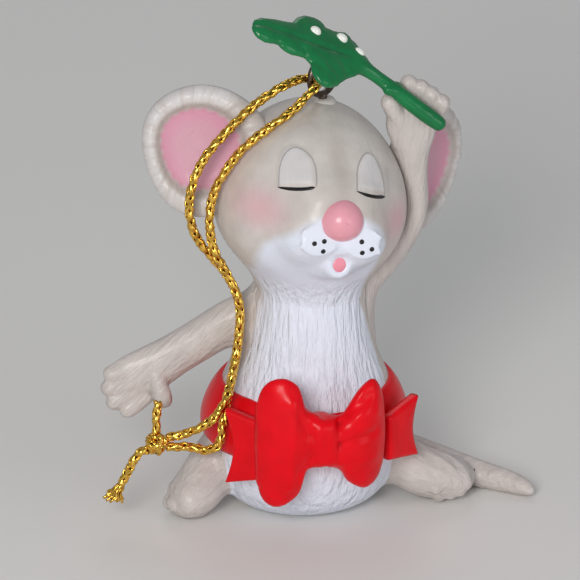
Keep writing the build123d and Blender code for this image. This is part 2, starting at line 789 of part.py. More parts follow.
turn = radians(eye_turn)
eye_axis = Vector(sin(turn), -cos(turn), 0)
eye_across = Vector(cos(turn), sin(turn), 0)
eye_center = Vector(*crown_center, pad_bottom + pad_height + fit + eye_wire / 2 + eye_radius)
with BuildPart() as screw_eye:
    with BuildSketch(Plane(eye_center, x_dir=eye_across, z_dir=(0, 0, 1))):
        with Locations((eye_radius, 0)):
            RegularPolygon(eye_wire / 2, cord_sides)
    revolve(axis=Axis(eye_center, eye_axis))
    with BuildSketch(Plane((*crown_center, eye_center.Z - eye_radius))):
        RegularPolygon(screw_radius, small_sides)
    extrude(amount=-screw_length)
screw_eye.part.label = "screw_eye"
export_step(screw_eye.part, "parts/screw_eye.step")

with BuildPart() as sprig:
    with BuildSketch(sprig_frame.offset(-leaf_thickness / 2)):
        with BuildLine():
            body = [(leaf_length * along, leaf_width * across) for along, across in leaf_body_shares]
            Polyline(*body, close=True)
        make_face()
        for along, across, radius in leaf_lobe_shares:
            with Locations((leaf_length * along, leaf_width * across)):
                RegularPolygon(leaf_width * radius, skin_sides)
    extrude(amount=leaf_thickness)
    add(stem_bar())
sprig.part.label = "sprig"
export_step(sprig.part, "parts/sprig.step")

# Each berry is a half ball standing on the leaf's upper face
for count, (along, across) in enumerate(berry_shares, start=1):
    place = (leaf_length * along, leaf_width * across, leaf_thickness / 2)
    with BuildPart() as berry:
        add(ball(Plane(sprig_frame.location * Location(place)), berry_radius, small_sides))
    berry.part.label = f"berry_{count}"
    export_step(berry.part, f"parts/berry_{count}.step")


def bend_radii(points):
    """The radius at each corner of a route that its straight runs leave room for."""
    runs = [Vector(*end) - Vector(*start) for start, end in zip(points, points[1:])]
    room = [run.length for run in runs]
    room[0] *= 2
    room[-1] *= 2
    radii = []
    for place in range(len(runs) - 1):
        bend = radians(runs[place].get_angle(runs[place + 1]))
        radii.append(bend_share * min(room[place], room[place + 1]) / tan(bend / 2))
    return radii


def cord(points, name):
    """A cord of flat sides along straight runs joined by tangent arcs."""
    radii = bend_radii(points)
    print(name, "bend radii", [round(radius, 2) for radius in radii])
    with BuildPart() as piece:
        with BuildLine() as route:
            FilletPolyline(*points, radius=radii)
        with BuildSketch(Plane(points[0], z_dir=Vector(*points[1]) - Vector(*points[0]))) as section:
            RegularPolygon(cord_radius, cord_sides)
        sweep(path=route.wire())
    length = route.wire().length
    print(name, "length", round(length, 2))
    print(name, "volume share", round(piece.part.volume / (section.sketch.area * length), 4))
    piece.part.label = name
    export_step(piece.part, f"parts/{name}.step")
    return length


# The fold holds the ring's wire in its hollow and lies level with the ring's middle
fold_center = eye_center - eye_across * eye_radius
fold_radius = eye_wire / 2 + cord_radius + fold_gap
fold_reach = fold_radius * tan(pi / 8)
fold_top = fold_center + eye_across * fold_radius
for side, strand_name, route_points in ((-1, "cord_back", back_route), (1, "cord_front", front_route)):
    fold = [
        tuple(fold_top),
        tuple(fold_top + eye_axis * side * fold_reach),
        tuple(fold_center + eye_across * fold_reach + eye_axis * side * fold_radius),
    ]
    cord(fold + route_points, strand_name)
cord(end_route, "cord_end")
cord(stub_route, "cord_stub")

with BuildPart() as cord_knot:
    with BuildSketch(Plane(knot_center, x_dir=(1, 0, 0), z_dir=(0, -1, 0))):
        Rectangle(knot_width, knot_height)
    extrude(amount=knot_depth / 2, both=True)
    chamfer(cord_knot.edges(), knot_edge)
cord_knot.part.label = "cord_knot"
export_step(cord_knot.part, "parts/cord_knot.step")

# The fringe flares from the loose end of the cord
fringe_along = (Vector(*end_route[-1]) - Vector(*end_route[-2])).normalized()
fringe_plane = Plane(end_route[-1], z_dir=fringe_along)
fringe_waist = fringe_plane.offset(fringe_length * fringe_waist_share)
with BuildPart() as cord_fringe:
    add(
        skin(
            [
                ring(fringe_plane, cord_radius, cord_radius, small_sides),
                ring(fringe_waist, fringe_radius, fringe_radius, small_sides),
                ring(fringe_plane.offset(fringe_length), cord_radius, cord_radius, small_sides),
            ]
        )
    )
cord_fringe.part.label = "cord_fringe"
export_step(cord_fringe.part, "parts/cord_fringe.step")
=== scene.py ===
# %% [markdown]
# # A seated mouse ornament
# The mouse sits on its haunches with a red sash and bow, and holds a green sprig over
# its head. A gold cord hangs from the screw eye on its crown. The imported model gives
# the frame: every solid there is replaced here by a finer piece in the same place.
# The real ornament looks cast in one piece, painted by hand and varnished, so the
# forms are soft, the limbs run into the body, and all detail is cut shallow.

# %% The frame
import math

import bmesh
import bpy
import numpy as np
from mathutils import Matrix, Vector
from mathutils.bvhtree import BVHTree


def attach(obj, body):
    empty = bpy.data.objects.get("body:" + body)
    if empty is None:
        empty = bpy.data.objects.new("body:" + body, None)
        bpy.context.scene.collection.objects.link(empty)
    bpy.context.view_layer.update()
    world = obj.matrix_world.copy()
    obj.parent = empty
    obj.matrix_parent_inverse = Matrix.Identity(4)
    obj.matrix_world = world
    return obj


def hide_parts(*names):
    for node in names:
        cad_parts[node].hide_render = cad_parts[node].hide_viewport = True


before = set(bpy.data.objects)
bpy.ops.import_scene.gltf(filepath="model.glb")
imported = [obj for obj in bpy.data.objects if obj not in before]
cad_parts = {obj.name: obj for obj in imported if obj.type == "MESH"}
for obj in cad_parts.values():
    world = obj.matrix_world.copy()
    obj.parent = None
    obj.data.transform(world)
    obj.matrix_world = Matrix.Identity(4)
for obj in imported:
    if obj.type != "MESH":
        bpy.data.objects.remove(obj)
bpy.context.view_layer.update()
MM = 0.001
scene = bpy.context.scene

# %% [markdown]
# ## Camera
# A small thing photographed from close by would bulge toward the lens, and this one
# doesn't, so the camera stands well back with a long lens. It looks from 22 degrees
# up and 15 degrees to the mouse's right. Three unit vectors, across the picture, up
# it and toward the camera, place and turn it, which is easier to check than angles.

# %% The camera
AZIMUTH, ELEVATION, AWAY = math.radians(-15), math.radians(22), 1.2
SENSOR, FRAME_WIDTH = 36, 0.0754
NEAREST, FARTHEST = 0.05, 20
AIM_ACROSS, AIM_UP, AIM_TOWARD = -0.00169, 0.02691, 0.0153
LEVEL = math.cos(ELEVATION)
ACROSS = Vector((math.cos(AZIMUTH), math.sin(AZIMUTH), 0))
TOWARD = Vector((math.sin(AZIMUTH) * LEVEL, -math.cos(AZIMUTH) * LEVEL, math.sin(ELEVATION)))
UPWARD = TOWARD.cross(ACROSS)
aim = ACROSS * AIM_ACROSS + UPWARD * AIM_UP + TOWARD * AIM_TOWARD
camera_data = bpy.data.cameras.new("camera")
camera_data.sensor_width = SENSOR
camera_data.lens = SENSOR * AWAY / FRAME_WIDTH
camera_data.clip_start = NEAREST
camera_data.clip_end = FARTHEST
camera = bpy.data.objects.new("camera", camera_data)
camera.location = aim + TOWARD * AWAY
camera.rotation_euler = Matrix((ACROSS, UPWARD, TOWARD)).transposed().to_euler()
scene.collection.objects.link(camera)
scene.camera = camera
scene.view_settings.view_transform = "Standard"
print("lens", round(camera_data.lens), "mm")

# %% [markdown]
# ## Lamps and surroundings
# The photograph has even daylight with one brighter side. An area lamp gives a shadow
# with a soft edge, softer the larger the lamp is beside its distance, so three stand
# round the figure: a key at the front left, a weak fill at the right and a faint one
# behind. The world's own pale light lifts the shadows.

# %% The lamps and the world
LAMPS = {
    "lamp_key": ((-0.26, -0.50, 0.27), 0.20, 2.15, (1.0, 0.985, 0.96)),
    "lamp_fill": ((0.30, -0.48, 0.12), 0.30, 0.55, (0.95, 0.97, 1.0)),
    "lamp_back": ((0.10, 0.40, 0.40), 0.25, 0.3, (0.97, 0.98, 1.0)),
}
LAMPS_LOOK_AT = Vector((0, 0, 0.035))
WORLD_COLOUR, WORLD_STRENGTH = (0.90, 0.92, 0.95, 1), 0.34
for name, (spot, size, power, colour) in LAMPS.items():
    data = bpy.data.lights.new(name, "AREA")
    data.energy = power
    data.size = size
    data.color = colour
    thing = bpy.data.objects.new(name, data)
    thing.location = spot
    thing.rotation_euler = (Vector(spot) - LAMPS_LOOK_AT).to_track_quat("Z", "Y").to_euler()
    scene.collection.objects.link(thing)
world = bpy.data.worlds.new("surroundings")
world.use_nodes = True
scene.world = world
sky = world.node_tree.nodes["Background"].inputs
sky["Color"].default_value = WORLD_COLOUR
sky["Strength"].default_value = WORLD_STRENGTH
print(len(LAMPS), "lamps")

# %% [markdown]
# ## Floor
# The ornament stands on a pale floor. One large square is enough, because its edges
# lie outside the picture.

# %% The floor
FLOOR_HALF, FLOOR_COLOUR, FLOOR_ROUGHNESS = 3, (0.80, 0.79, 0.77, 1), 0.8
floor_mesh = bpy.data.meshes.new("floor")
corners = [(x * FLOOR_HALF, y * FLOOR_HALF, 0) for x, y in ((-1, -1), (1, -1), (1, 1), (-1, 1))]
floor_mesh.from_pydata(corners, [], [(0, 1, 2, 3)])
floor = bpy.data.objects.new("floor", floor_mesh)
scene.collection.objects.link(floor)
floor_paint = bpy.data.materials.new("floor_paint")
floor_paint.use_nodes = True
floor_shader = floor_paint.node_tree.nodes["Principled BSDF"].inputs
floor_shader["Base Color"].default_value = FLOOR_COLOUR
floor_shader["Roughness"].default_value = FLOOR_ROUGHNESS
floor_mesh.materials.append(floor_paint)
print("floor", 2 * FLOOR_HALF, "m wide")

# %% [markdown]
# ## Two effects for the paints
# Paint laid on by brush is never one flat tone, and the mouse's coat is cut with fine
# strokes. More than one paint shows each effect, so each is a node group, built once:
# the first changes a colour's tone by a soft noise, and the second gives the height
# of the strokes. One stretched noise would run the same way over the whole figure, so
# the strokes are read at places that each piece stores for itself, in an attribute
# named grain, squeezed along that piece's own hair.

# %% Helpers for nodes


def node(tree, kind, inputs, **settings):
    """A shader node's outputs; inputs gives each socket a value or another's output."""
    made = tree.nodes.new("ShaderNode" + kind)
    for name, value in settings.items():
        setattr(made, name, value)
    for name, value in inputs.items():
        if isinstance(value, bpy.types.NodeSocket):
            tree.links.new(value, made.inputs[name])
        else:
            made.inputs[name].default_value = value
    return made.outputs


def group_tree(name, inputs, result, result_kind):
    """A node group's tree, its inputs by name, and the socket that takes its result."""
    tree = bpy.data.node_groups.new(name, "ShaderNodeTree")
    sockets = tree.interface
    for label, (kind, value) in inputs.items():
        made = sockets.new_socket(name=label, in_out="INPUT", socket_type="NodeSocket" + kind)
        made.default_value = value
    sockets.new_socket(name=result, in_out="OUTPUT", socket_type="NodeSocket" + result_kind)
    given = tree.nodes.new("NodeGroupInput").outputs
    return tree, given, tree.nodes.new("NodeGroupOutput").inputs[result]


# %% The node groups


def brushed_group():
    """Colour in, colour out: soft changes of tone, as from a brush."""
    inputs = {"Colour": ("Color", (0.5, 0.5, 0.5, 1)), "Amount": ("Float", 0.1), "Scale": ("Float", 400.0)}
    tree, given, result = group_tree("brushed_tone", inputs, "Colour", "Color")
    spot = node(tree, "TexCoord", {})["Object"]
    noise = node(tree, "TexNoise", {"Vector": spot, "Scale": given["Scale"], "Detail": 4})["Fac"]
    spread = {"From Min": 0.3, "From Max": 0.7, "To Min": -1, "To Max": 1}
    level = node(tree, "MapRange", {"Value": noise, **spread})["Result"]
    factor = node(tree, "Math", {0: level, 1: given["Amount"], 2: 1.0}, operation="MULTIPLY_ADD")[0]
    tone = node(tree, "HueSaturation", {"Color": given["Colour"], "Value": factor})["Color"]
    tree.links.new(tone, result)
    return tree


def hair_group():
    """The height of shallow strokes, read at the places that each piece stores."""
    tree, given, result = group_tree("hair_strokes", {"Fineness": ("Float", 1.0)}, "Height", "Float")
    spot = node(tree, "Attribute", {}, attribute_name="grain")["Vector"]
    values = {"Vector": spot, "Scale": given["Fineness"], "Detail": 3, "Roughness": 0.6}
    tree.links.new(node(tree, "TexNoise", values)["Fac"], result)
    return tree


BRUSHED, HAIR = brushed_group(), hair_group()
print("node groups", BRUSHED.name, HAIR.name)

# %% [markdown]
# ## Paints and metals
# The real coat is grey with white on chest and muzzle and a blush on the cheeks,
# under a light varnish; shade in the creases is painted in as a darker colour. Painted
# images could hold that but need unwrapping, so each point of a piece carries four
# masks in a colour attribute named paint: red for white, green for blush, blue for
# painted shade and alpha for how deep the strokes are cut. The white's edge is torn
# along the strokes, as a brush leaves it on a rough surface.

# %% Paint in layers
VARNISH_ROUGHNESS = 0.12
STROKE_FINENESS, STROKE_DEPTH = 1.05, 0.00075
# The Mix node's colour sockets, which share their names with its other kinds
MIX_SHARE, MIX_BELOW, MIX_ABOVE, MIX_RESULT = 0, 6, 7, 2


def srgb(red, green, blue):
    """A display colour out of 255 as the linear colour that a shader takes."""
    return tuple(
        c / 255 / 12.92 if c / 255 <= 0.04045 else ((c / 255 + 0.055) / 1.055) ** 2.4
        for c in (red, green, blue)
    ) + (1,)


def paint(name, colour, roughness=0.3, amount=0.06, scale=500, gloss=0.1, sheen=0.3):
    """A varnished paint of one colour, uneven in tone."""
    made = bpy.data.materials.new(name)
    made.use_nodes = True
    tree = made.node_tree
    shader = tree.nodes["Principled BSDF"].inputs
    shader["Roughness"].default_value = roughness
    shader["Specular IOR Level"].default_value = sheen
    shader["Coat Weight"].default_value = gloss
    shader["Coat Roughness"].default_value = VARNISH_ROUGHNESS
    values = {"Colour": colour, "Amount": amount, "Scale": scale}
    tone = node(tree, "Group", values, node_tree=BRUSHED)["Colour"]
    tree.links.new(tone, shader["Base Color"])
    return made


def laid(made, channel, above, strokes=None, torn=0.0, edge=0.5):
    """A colour laid over a paint where one of the piece's masks says, torn along strokes."""
    tree = made.node_tree
    base = tree.nodes["Principled BSDF"].inputs["Base Color"]
    below = base.links[0].from_socket
    masks = node(tree, "Attribute", {}, attribute_name="paint")["Color"]
    share = node(tree, "SeparateColor", {"Color": masks})[channel]
    if strokes is not None:
        tear = node(tree, "Math", {0: strokes, 1: torn, 2: -torn / 2}, operation="MULTIPLY_ADD")[0]
        total = node(tree, "Math", {0: share, 1: tear}, operation="ADD")[0]
        limits = {"From Min": 0.5 - edge, "From Max": 0.5 + edge}
        share = node(tree, "MapRange", {"Value": total, **limits})["Result"]
    mix = node(tree, "Mix", {MIX_SHARE: share, MIX_BELOW: below, MIX_ABOVE: above}, data_type="RGBA")
    tree.links.new(mix[MIX_RESULT], base)
    return made


def coat_paint(name, coat, white, blush, torn=1.1, edge=0.18):
    """The mouse's paint: carved strokes, white torn along them, blush and painted shade in creases."""
    made = paint(name, coat, roughness=0.42, scale=450, gloss=0.12, sheen=0.35)
    tree = made.node_tree
    strokes = node(tree, "Group", {"Fineness": STROKE_FINENESS}, node_tree=HAIR)["Height"]
    relief = node(tree, "Attribute", {}, attribute_name="paint")["Alpha"]
    bump = {"Height": strokes, "Strength": relief, "Distance": STROKE_DEPTH}
    tree.links.new(node(tree, "Bump", bump)["Normal"], tree.nodes["Principled BSDF"].inputs["Normal"])
    laid(made, "Red", white, strokes, torn, edge)
    laid(made, "Green", blush)
    # Shade painted into the creases in a darker colour, where the blue mask says
    return laid(made, "Blue", CREASE_SHADE)


def metal(name, colour, roughness, scale):
    """Bare or plated metal with uneven tarnish."""
    made = paint(name, colour, roughness=roughness, amount=TARNISH, scale=scale, gloss=0)
    made.node_tree.nodes["Principled BSDF"].inputs["Metallic"].default_value = 1
    return made


# %% The colours
TARNISH = 0.3
# CREASE_SHADE is the darker colour painted into creases as shade
GREY, WHITE, CREASE_SHADE = srgb(196, 188, 184), srgb(222, 227, 240), srgb(128, 110, 102)
COAT = coat_paint("coat_paint", GREY, WHITE, srgb(212, 158, 166))
FACE = coat_paint("face_paint", srgb(203, 196, 191), WHITE, srgb(214, 158, 168), torn=0.2, edge=0.4)
EAR = coat_paint("ear_paint", GREY, srgb(208, 204, 204), srgb(210, 150, 171))
NOSE = paint("nose_paint", srgb(228, 158, 171), amount=0.04, gloss=0.2)
MOUTH = paint("mouth_paint", srgb(226, 140, 156), roughness=0.4, amount=0.05)
INK = paint("ink", srgb(22, 20, 22), roughness=0.4, amount=0.2)
LINE = paint("line_grey", srgb(168, 163, 165), roughness=0.5, amount=0.1)
RIBBON = paint("ribbon_paint", srgb(222, 8, 24), 0.32, amount=0.08, scale=300, gloss=0.08, sheen=0.12)
# A darker red, painted into the bow's creases as shade
laid(RIBBON, "Blue", srgb(150, 6, 16))
LEAF = paint("leaf_paint", srgb(14, 112, 62), 0.26, amount=0.14, scale=350, gloss=0.25, sheen=0.25)
# A darker green, painted into the leaf's grooves as shade
laid(LEAF, "Blue", srgb(6, 62, 36))
BERRY = paint("berry_paint", srgb(236, 238, 232), amount=0.03, gloss=0.3)
PAD = paint("pad_paint", srgb(205, 200, 196), roughness=0.35, amount=0.05)
IRON = metal("eye_metal", srgb(96, 84, 76), 0.34, 900)
# The gold is painted dark brown where the braid lies deep, as shade between its strands
GOLD = laid(metal("cord_gold", srgb(236, 190, 84), 0.2, 1800), "Blue", srgb(112, 70, 20))
print(len(bpy.data.materials), "materials")

# %% [markdown]
# ## Making a piece
# Most of the plain pieces are skins over rings of points, as a potter stacks coils:
# `band` joins matching rings and closes both ends. `place` puts a finished mesh in
# the scene with its paint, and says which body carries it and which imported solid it
# stands for. Points are in millimetres until a mesh is made of them.

# %% Pieces


def place(mesh, name, body, material, slot, *nodes):
    """A mesh as a piece of the object."""
    mesh.name = name
    thing = bpy.data.objects.new(name, mesh)
    scene.collection.objects.link(thing)
    mesh.materials.clear()
    mesh.materials.append(material)
    mesh.shade_smooth()
    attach(thing, body)
    if nodes:
        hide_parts(*nodes)
    return thing


def mesh_of(name, points, faces):
    """A mesh from points in millimetres, with its faces turned outward."""
    mesh = bpy.data.meshes.new(name)
    mesh.from_pydata((np.asarray(points, float) * MM).tolist(), [], faces)
    shape = bmesh.new()
    shape.from_mesh(mesh)
    bmesh.ops.recalc_face_normals(shape, faces=shape.faces)
    shape.to_mesh(mesh)
    shape.free()
    return mesh


# %% Rings and lines


def oval(center, x_axis, y_axis, count):
    """A ring of points round a centre, from its two half axes."""
    t = np.arange(count) * 2 * np.pi / count
    return center + np.outer(np.cos(t), x_axis) + np.outer(np.sin(t), y_axis)


def band(rings, closed=False):
    """Points and faces of a skin over matching rings, its ends closed by a fan."""
    rings = [np.asarray(r, float) for r in rings]
    count = len(rings[0])
    points = np.concatenate(rings)
    faces = []
    last = len(rings) if closed else len(rings) - 1
    for i in range(last):
        a, b = i * count, (i + 1) % len(rings) * count
        for j in range(count):
            k = (j + 1) % count
            faces.append((a + j, a + k, b + k, b + j))
    if not closed:
        for base, ring in ((0, rings[0]), ((len(rings) - 1) * count, rings[-1])):
            points = np.vstack([points, ring.mean(0)])
            middle = len(points) - 1
            faces += [(base + j, base + (j + 1) % count, middle) for j in range(count)]
    return points, faces


def joined(*parts):
    """Several (points, faces) as one."""
    points, faces, base = [], [], 0
    for p, f in parts:
        points.append(p)
        faces += [tuple(i + base for i in face) for face in f]
        base += len(p)
    return np.concatenate(points), faces


def rows(table, steps=6):
    """A table with rows set between its own, so that each column runs smoothly."""
    t = np.array(table, float)
    out = []
    for i in range(len(t) - 1):
        a, b, c, d = t[max(i - 1, 0)], t[i], t[i + 1], t[min(i + 2, len(t) - 1)]
        bend, twist = a - 2.5 * b + 2 * c - d / 2, 3 * b - a - 3 * c + d
        for s in np.arange(steps) / steps:
            out.append(b + (c - a) / 2 * s + bend * s**2 + twist / 2 * s**3)
    return np.array(out + [t[-1]])


def unit(v):
    """Vectors scaled to length 1."""
    v = np.asarray(v, float)
    return v / np.linalg.norm(v, axis=-1, keepdims=True)


def frames_along(points, side):
    """For each point of a line: its direction, the way nearest to side, and the third."""
    points = np.asarray(points, float)
    before = np.vstack([points[:1], points[:-1]])
    after = np.vstack([points[1:], points[-1:]])
    along = unit(after - before)
    across = unit(np.cross(np.cross(along, np.asarray(side, float)), along))
    return along, across, np.cross(along, across)


def soft_step(value, low, high):
    """Rises smoothly from 0 at low to 1 at high."""
    t = np.clip((np.asarray(value, float) - low) / (high - low), 0, 1)
    return t * t * (3 - 2 * t)


# %% [markdown]
# ## The hanging cord
# A length of gold braid about 1.3 mm thick is folded through the ring of the screw
# eye. Its two strands run side by side over the head and down past the lowered arm to
# a knot, where one end frays out and the other stands up as a short stub. A smooth
# NURBS line through few points follows such a cord better than one with many, so
# each route is a short list of places along it.


# %% The routes
CORD_RADIUS = 0.65
FOLD = [(1.856, -0.003, 58.33), (1.570, 0.443, 58.33), (0.534, 0.671, 58.33)]
FOLD_FRONT = [(1.856, -0.003, 58.33), (2.142, -0.449, 58.33), (1.914, -1.485, 58.33)]
BACK_ROUTE = FOLD + [
    (-1.24, -0.46, 58.5),
    (-3.71, -1.28, 57.95),
    (-7.44, -2.15, 56.16),
    (-11.24, -2.78, 53.02),
    (-14.77, -4.38, 50.23),
    (-16.44, -4.09, 45.5),
    (-15.98, -3.38, 40.7),
    (-13.96, -2.88, 37.2),
    (-11.14, -2.4, 33.9),
    (-8.98, -2.36, 29.3),
    (-9.33, -2.68, 24.3),
    (-10.19, -3.38, 20.5),
    (-11.72, -6.07, 17.75),
    (-12.79, -7.55, 14.5),
    (-13.17, -7.45, 11.4),
    (-14.85, -6.69, 10.5),
    (-17.2, -6.15, 11.43),
    (-19.98, -6.15, 11.43),
]
FRONT_ROUTE = FOLD_FRONT + [
    (0.14, -2.62, 57.4),
    (-1.89, -3.53, 55.84),
    (-5.09, -4.43, 54.28),
    (-8.94, -4.23, 51.66),
    (-11.88, -3.65, 47.67),
    (-13.54, -3.83, 43.99),
    (-13.54, -3.9, 40.06),
    (-13.04, -3.96, 37.4),
    (-11.5, -3.74, 34.46),
    (-9.34, -3.7, 29.86),
    (-9.69, -4.02, 24.86),
    (-10.55, -4.72, 21.06),
    (-12.08, -7.41, 18.31),
    (-13.8, -8.31, 15.9),
    (-15.88, -7.55, 14.28),
    (-17.99, -6.15, 12.87),
    (-19.98, -6.15, 12.87),
]
END_ROUTE = [(-22.58, -6.2, 11.4), (-23.8, -6.2, 11.4), (-25.03, -5.6, 8.4), (-25.9, -5.3, 6.6)]
STUB_ROUTE = [(-21.4, -6.1, 13.63), (-21.4, -6.1, 15.6), (-21.0, -5.6, 17.8)]
KNOT_CENTER = np.array((-21.28, -6.15, 12.13))

# %% [markdown]
# ### The braid
# Real ornament cord is a round braid: carriers wind both ways round a core, over and
# under each other. A bump on a plain tube would be quicker, but the glints come from
# the lumps, so each of six carriers, three each way, is a flattened strand of its own
# that rises and dips as it crosses the others. All its sizes are shares of the
# cord's radius, and what lies deep is painted dark brown as shade between the strands.

# %% Even lines
LINE_STEP, LINE_FEWEST = 0.2, 8


def nurbs_points(route, name):
    """Even points along the smooth line that a route's points control, in mm."""
    data = bpy.data.curves.new(name, "CURVE")
    data.dimensions = "3D"
    data.resolution_u = 12
    spline = data.splines.new("NURBS")
    spline.points.add(len(route) - 1)
    for point, (x, y, z) in zip(spline.points, route):
        point.co = (x * MM, y * MM, z * MM, 1)
    spline.order_u = 3
    spline.use_endpoint_u = True
    thing = bpy.data.objects.new(name, data)
    scene.collection.objects.link(thing)
    mesh = bpy.data.meshes.new_from_object(thing)
    line = np.array([v.co[:] for v in mesh.vertices]) / MM
    bpy.data.objects.remove(thing)
    bpy.data.meshes.remove(mesh)
    steps = np.r_[0, np.cumsum(np.linalg.norm(np.diff(line, axis=0), axis=1))]
    even = np.linspace(0, steps[-1], max(int(steps[-1] / LINE_STEP), LINE_FEWEST))
    return np.stack([np.interp(even, steps, line[:, i]) for i in range(3)], 1), steps[-1]


def carried_frames(line):
    """Frames along a line that don't twist about it."""
    along = unit(np.gradient(line, axis=0))
    across = np.zeros_like(line)
    across[0] = unit(np.cross(along[0], (0.3, 0.2, 1)))
    for i in range(1, len(line)):
        kept = across[i - 1] - along[i] * (across[i - 1] @ along[i])
        across[i] = unit(kept)
    return along, across, np.cross(along, across)


# %% The strands
BRAID_PITCH, CARRIERS, STRAND_SIDES = 5.4, 3, 8
STRAND_OUT, STRAND_WEAVE, STRAND_LEAN = 0.60, 0.15, 0.66
STRAND_THICK, STRAND_HALF, STRAND_SWELL = 0.27, 0.45, 0.08
CORE_HALF, SHADE_FROM, SHADE_FADE = 0.42, 0.80, 0.34


def braid(line, length, radius=CORD_RADIUS):
    """Points and faces of a round braid, and each point's share of the painted shade."""
    along, across, up = carried_frames(line)
    around = 2 * np.pi * np.linspace(0, length, len(line)) / BRAID_PITCH
    parts, deep = [], []
    for way in (-1, 1):
        for c in range(CARRIERS):
            turn = way * around + 2 * np.pi * c / CARRIERS
            out = unit(across * np.cos(turn)[:, None] + up * np.sin(turn)[:, None])
            weave = np.cos(around * CARRIERS + c * np.pi) * way
            middle = line + out * (radius * (STRAND_OUT + STRAND_WEAVE * weave))[:, None]
            lean = way * 2 * np.pi * radius * STRAND_LEAN / BRAID_PITCH
            side = np.cross(unit(along + lean * np.cross(along, out)), out)
            halves = radius * (STRAND_HALF + STRAND_SWELL * weave)
            rings = [
                oval(m, o * radius * STRAND_THICK, s * half, STRAND_SIDES)
                for m, o, s, half in zip(middle, out, side, halves)
            ]
            parts.append(band(rings))
            far = np.linalg.norm(np.array(rings) - line[:, None], axis=2).ravel() / radius
            # Points deep between the strands get painted shade
            deep += [np.clip((SHADE_FROM - far) / SHADE_FADE, 0, 1), (0.5, 0.5)]
    thick = radius * CORE_HALF
    core = [oval(m, a * thick, u * thick, STRAND_SIDES) for m, a, u in zip(line, across, up)]
    parts.append(band(core))
    # The core lies in shade and is painted dark all over
    deep.append(np.ones(len(core) * STRAND_SIDES + 2))
    return *joined(*parts), np.concatenate(deep)


def with_painted_shade(name, points, faces, deep):
    """A mesh of gold thread, painted darker as shade where its points lie deep."""
    mesh = mesh_of(name, points, faces)
    layer = mesh.color_attributes.new("paint", "FLOAT_COLOR", "POINT")
    layer.data.foreach_set("color", np.stack([0 * deep, 0 * deep, deep, 0 * deep + 1], 1).ravel())
    return mesh


# %% The four lengths
ROUTES = {
    "cord_back": BACK_ROUTE,
    "cord_front": FRONT_ROUTE,
    "cord_end": END_ROUTE,
    "cord_stub": STUB_ROUTE,
}
cords = {}
for cord_name, route in ROUTES.items():
    line, length = nurbs_points(route, cord_name + "_line")
    print(cord_name, "length mm", round(length, 2))
    cord_mesh = with_painted_shade(cord_name, *braid(line, length))
    cords[cord_name] = place(cord_mesh, cord_name, "hanging_loop", GOLD, "cord", cord_name), line, length

# %% [markdown]
# ### The knot and the fringe
# The knot is an overhand knot pulled tight. Followed exactly, a tight knot's line
# can't be told from a ball of turns, so it is three short closed turns of a thinner
# braid, each on an axis of its own. The fringe is the braid's own threads, combed
# apart at the cut end, so each is a thin curly tube that leaves the tip at random.

# %% The knot
KNOT_STRAND, KNOT_SQUASH, KNOT_SIDE = 0.6, 0.8, (0.2, 1, 0.1)
KNOT_STEPS, KNOT_POINTS = 44, 60
# Each turn: its axis, radius, wave along the axis and where it starts
KNOT_TURNS = (
    ((1, 0.1, 0.35), 1.05, 0.4, 0.0),
    ((0.1, 1, 0.2), 1.12, 0.35, 1.2),
    ((0.25, 0.3, 1), 1.1, 0.3, 2.1),
)


def knot_turn(axis, radius, height, phase):
    """The line and length of a closed turn of cord round the knot's middle."""
    t = np.linspace(0, 2 * np.pi, KNOT_STEPS + 1)
    axis = unit(axis)
    x = unit(np.cross(axis, KNOT_SIDE))
    y = np.cross(axis, x) * KNOT_SQUASH
    ring = KNOT_CENTER + radius * (np.outer(np.cos(t + phase), x) + np.outer(np.sin(t + phase), y))
    ring = ring + np.outer(np.sin(2 * t) * height, axis)
    length = np.linalg.norm(np.diff(ring, axis=0), axis=1).sum()
    fine = np.linspace(0, KNOT_STEPS, KNOT_POINTS)
    return np.stack([np.interp(fine, range(len(ring)), ring[:, i]) for i in range(3)], 1), length


turns = [braid(*knot_turn(*turn), radius=KNOT_STRAND) for turn in KNOT_TURNS]
knot_points, knot_faces = joined(*(turn[:2] for turn in turns))
knot_mesh = with_painted_shade("cord_knot", knot_points, knot_faces, np.concatenate([turn[2] for turn in turns]))
knot = place(knot_mesh, "cord_knot", "hanging_loop", GOLD, "cord", "cord_knot")
print("knot", len(knot_faces), "faces")

# %% The fringe
THREADS, THREAD_RADIUS, THREAD_SIDES, THREAD_STEPS = 34, 0.16, 6, 14
THREAD_SHORTEST, THREAD_LONGEST = 2.0, 2.8
CURL, CURL_FEWEST, CURL_MOST = 0.22, 5, 9
SPREAD_AT_TIP, SPREAD_BEYOND, INSIDE_TIP = 0.35, 1.0, 0.2
rng = np.random.default_rng(4)
before, tip = np.array(END_ROUTE[-2:])
fall = unit(tip - before)
fall_x = unit(np.cross(fall, (0, 1, 0.2)))
fall_y = np.cross(fall, fall_x)
threads = []
t = np.linspace(-INSIDE_TIP, 1, THREAD_STEPS)[:, None]
past = np.clip(t, 0, 1)
for _ in range(THREADS):
    angle, spread = rng.uniform(0, 2 * np.pi), math.sqrt(rng.uniform(0.02, 1))
    reach = rng.uniform(THREAD_SHORTEST, THREAD_LONGEST)
    out = fall_x * math.cos(angle) + fall_y * math.sin(angle)
    curl = np.sin(t * rng.uniform(CURL_FEWEST, CURL_MOST) + angle)
    waves = curl * CURL * np.clip(t + INSIDE_TIP, 0, 1)
    away = spread * (SPREAD_AT_TIP + SPREAD_BEYOND * past**1.2)
    route = tip + fall * reach * t + out * away + fall_x * waves
    _, across, up = frames_along(route, (0.1, 0.9, 0.3))
    sections = zip(route, across * THREAD_RADIUS, up * THREAD_RADIUS)
    threads.append(band([oval(middle, x, y, THREAD_SIDES) for middle, x, y in sections]))
points, faces = joined(*threads)
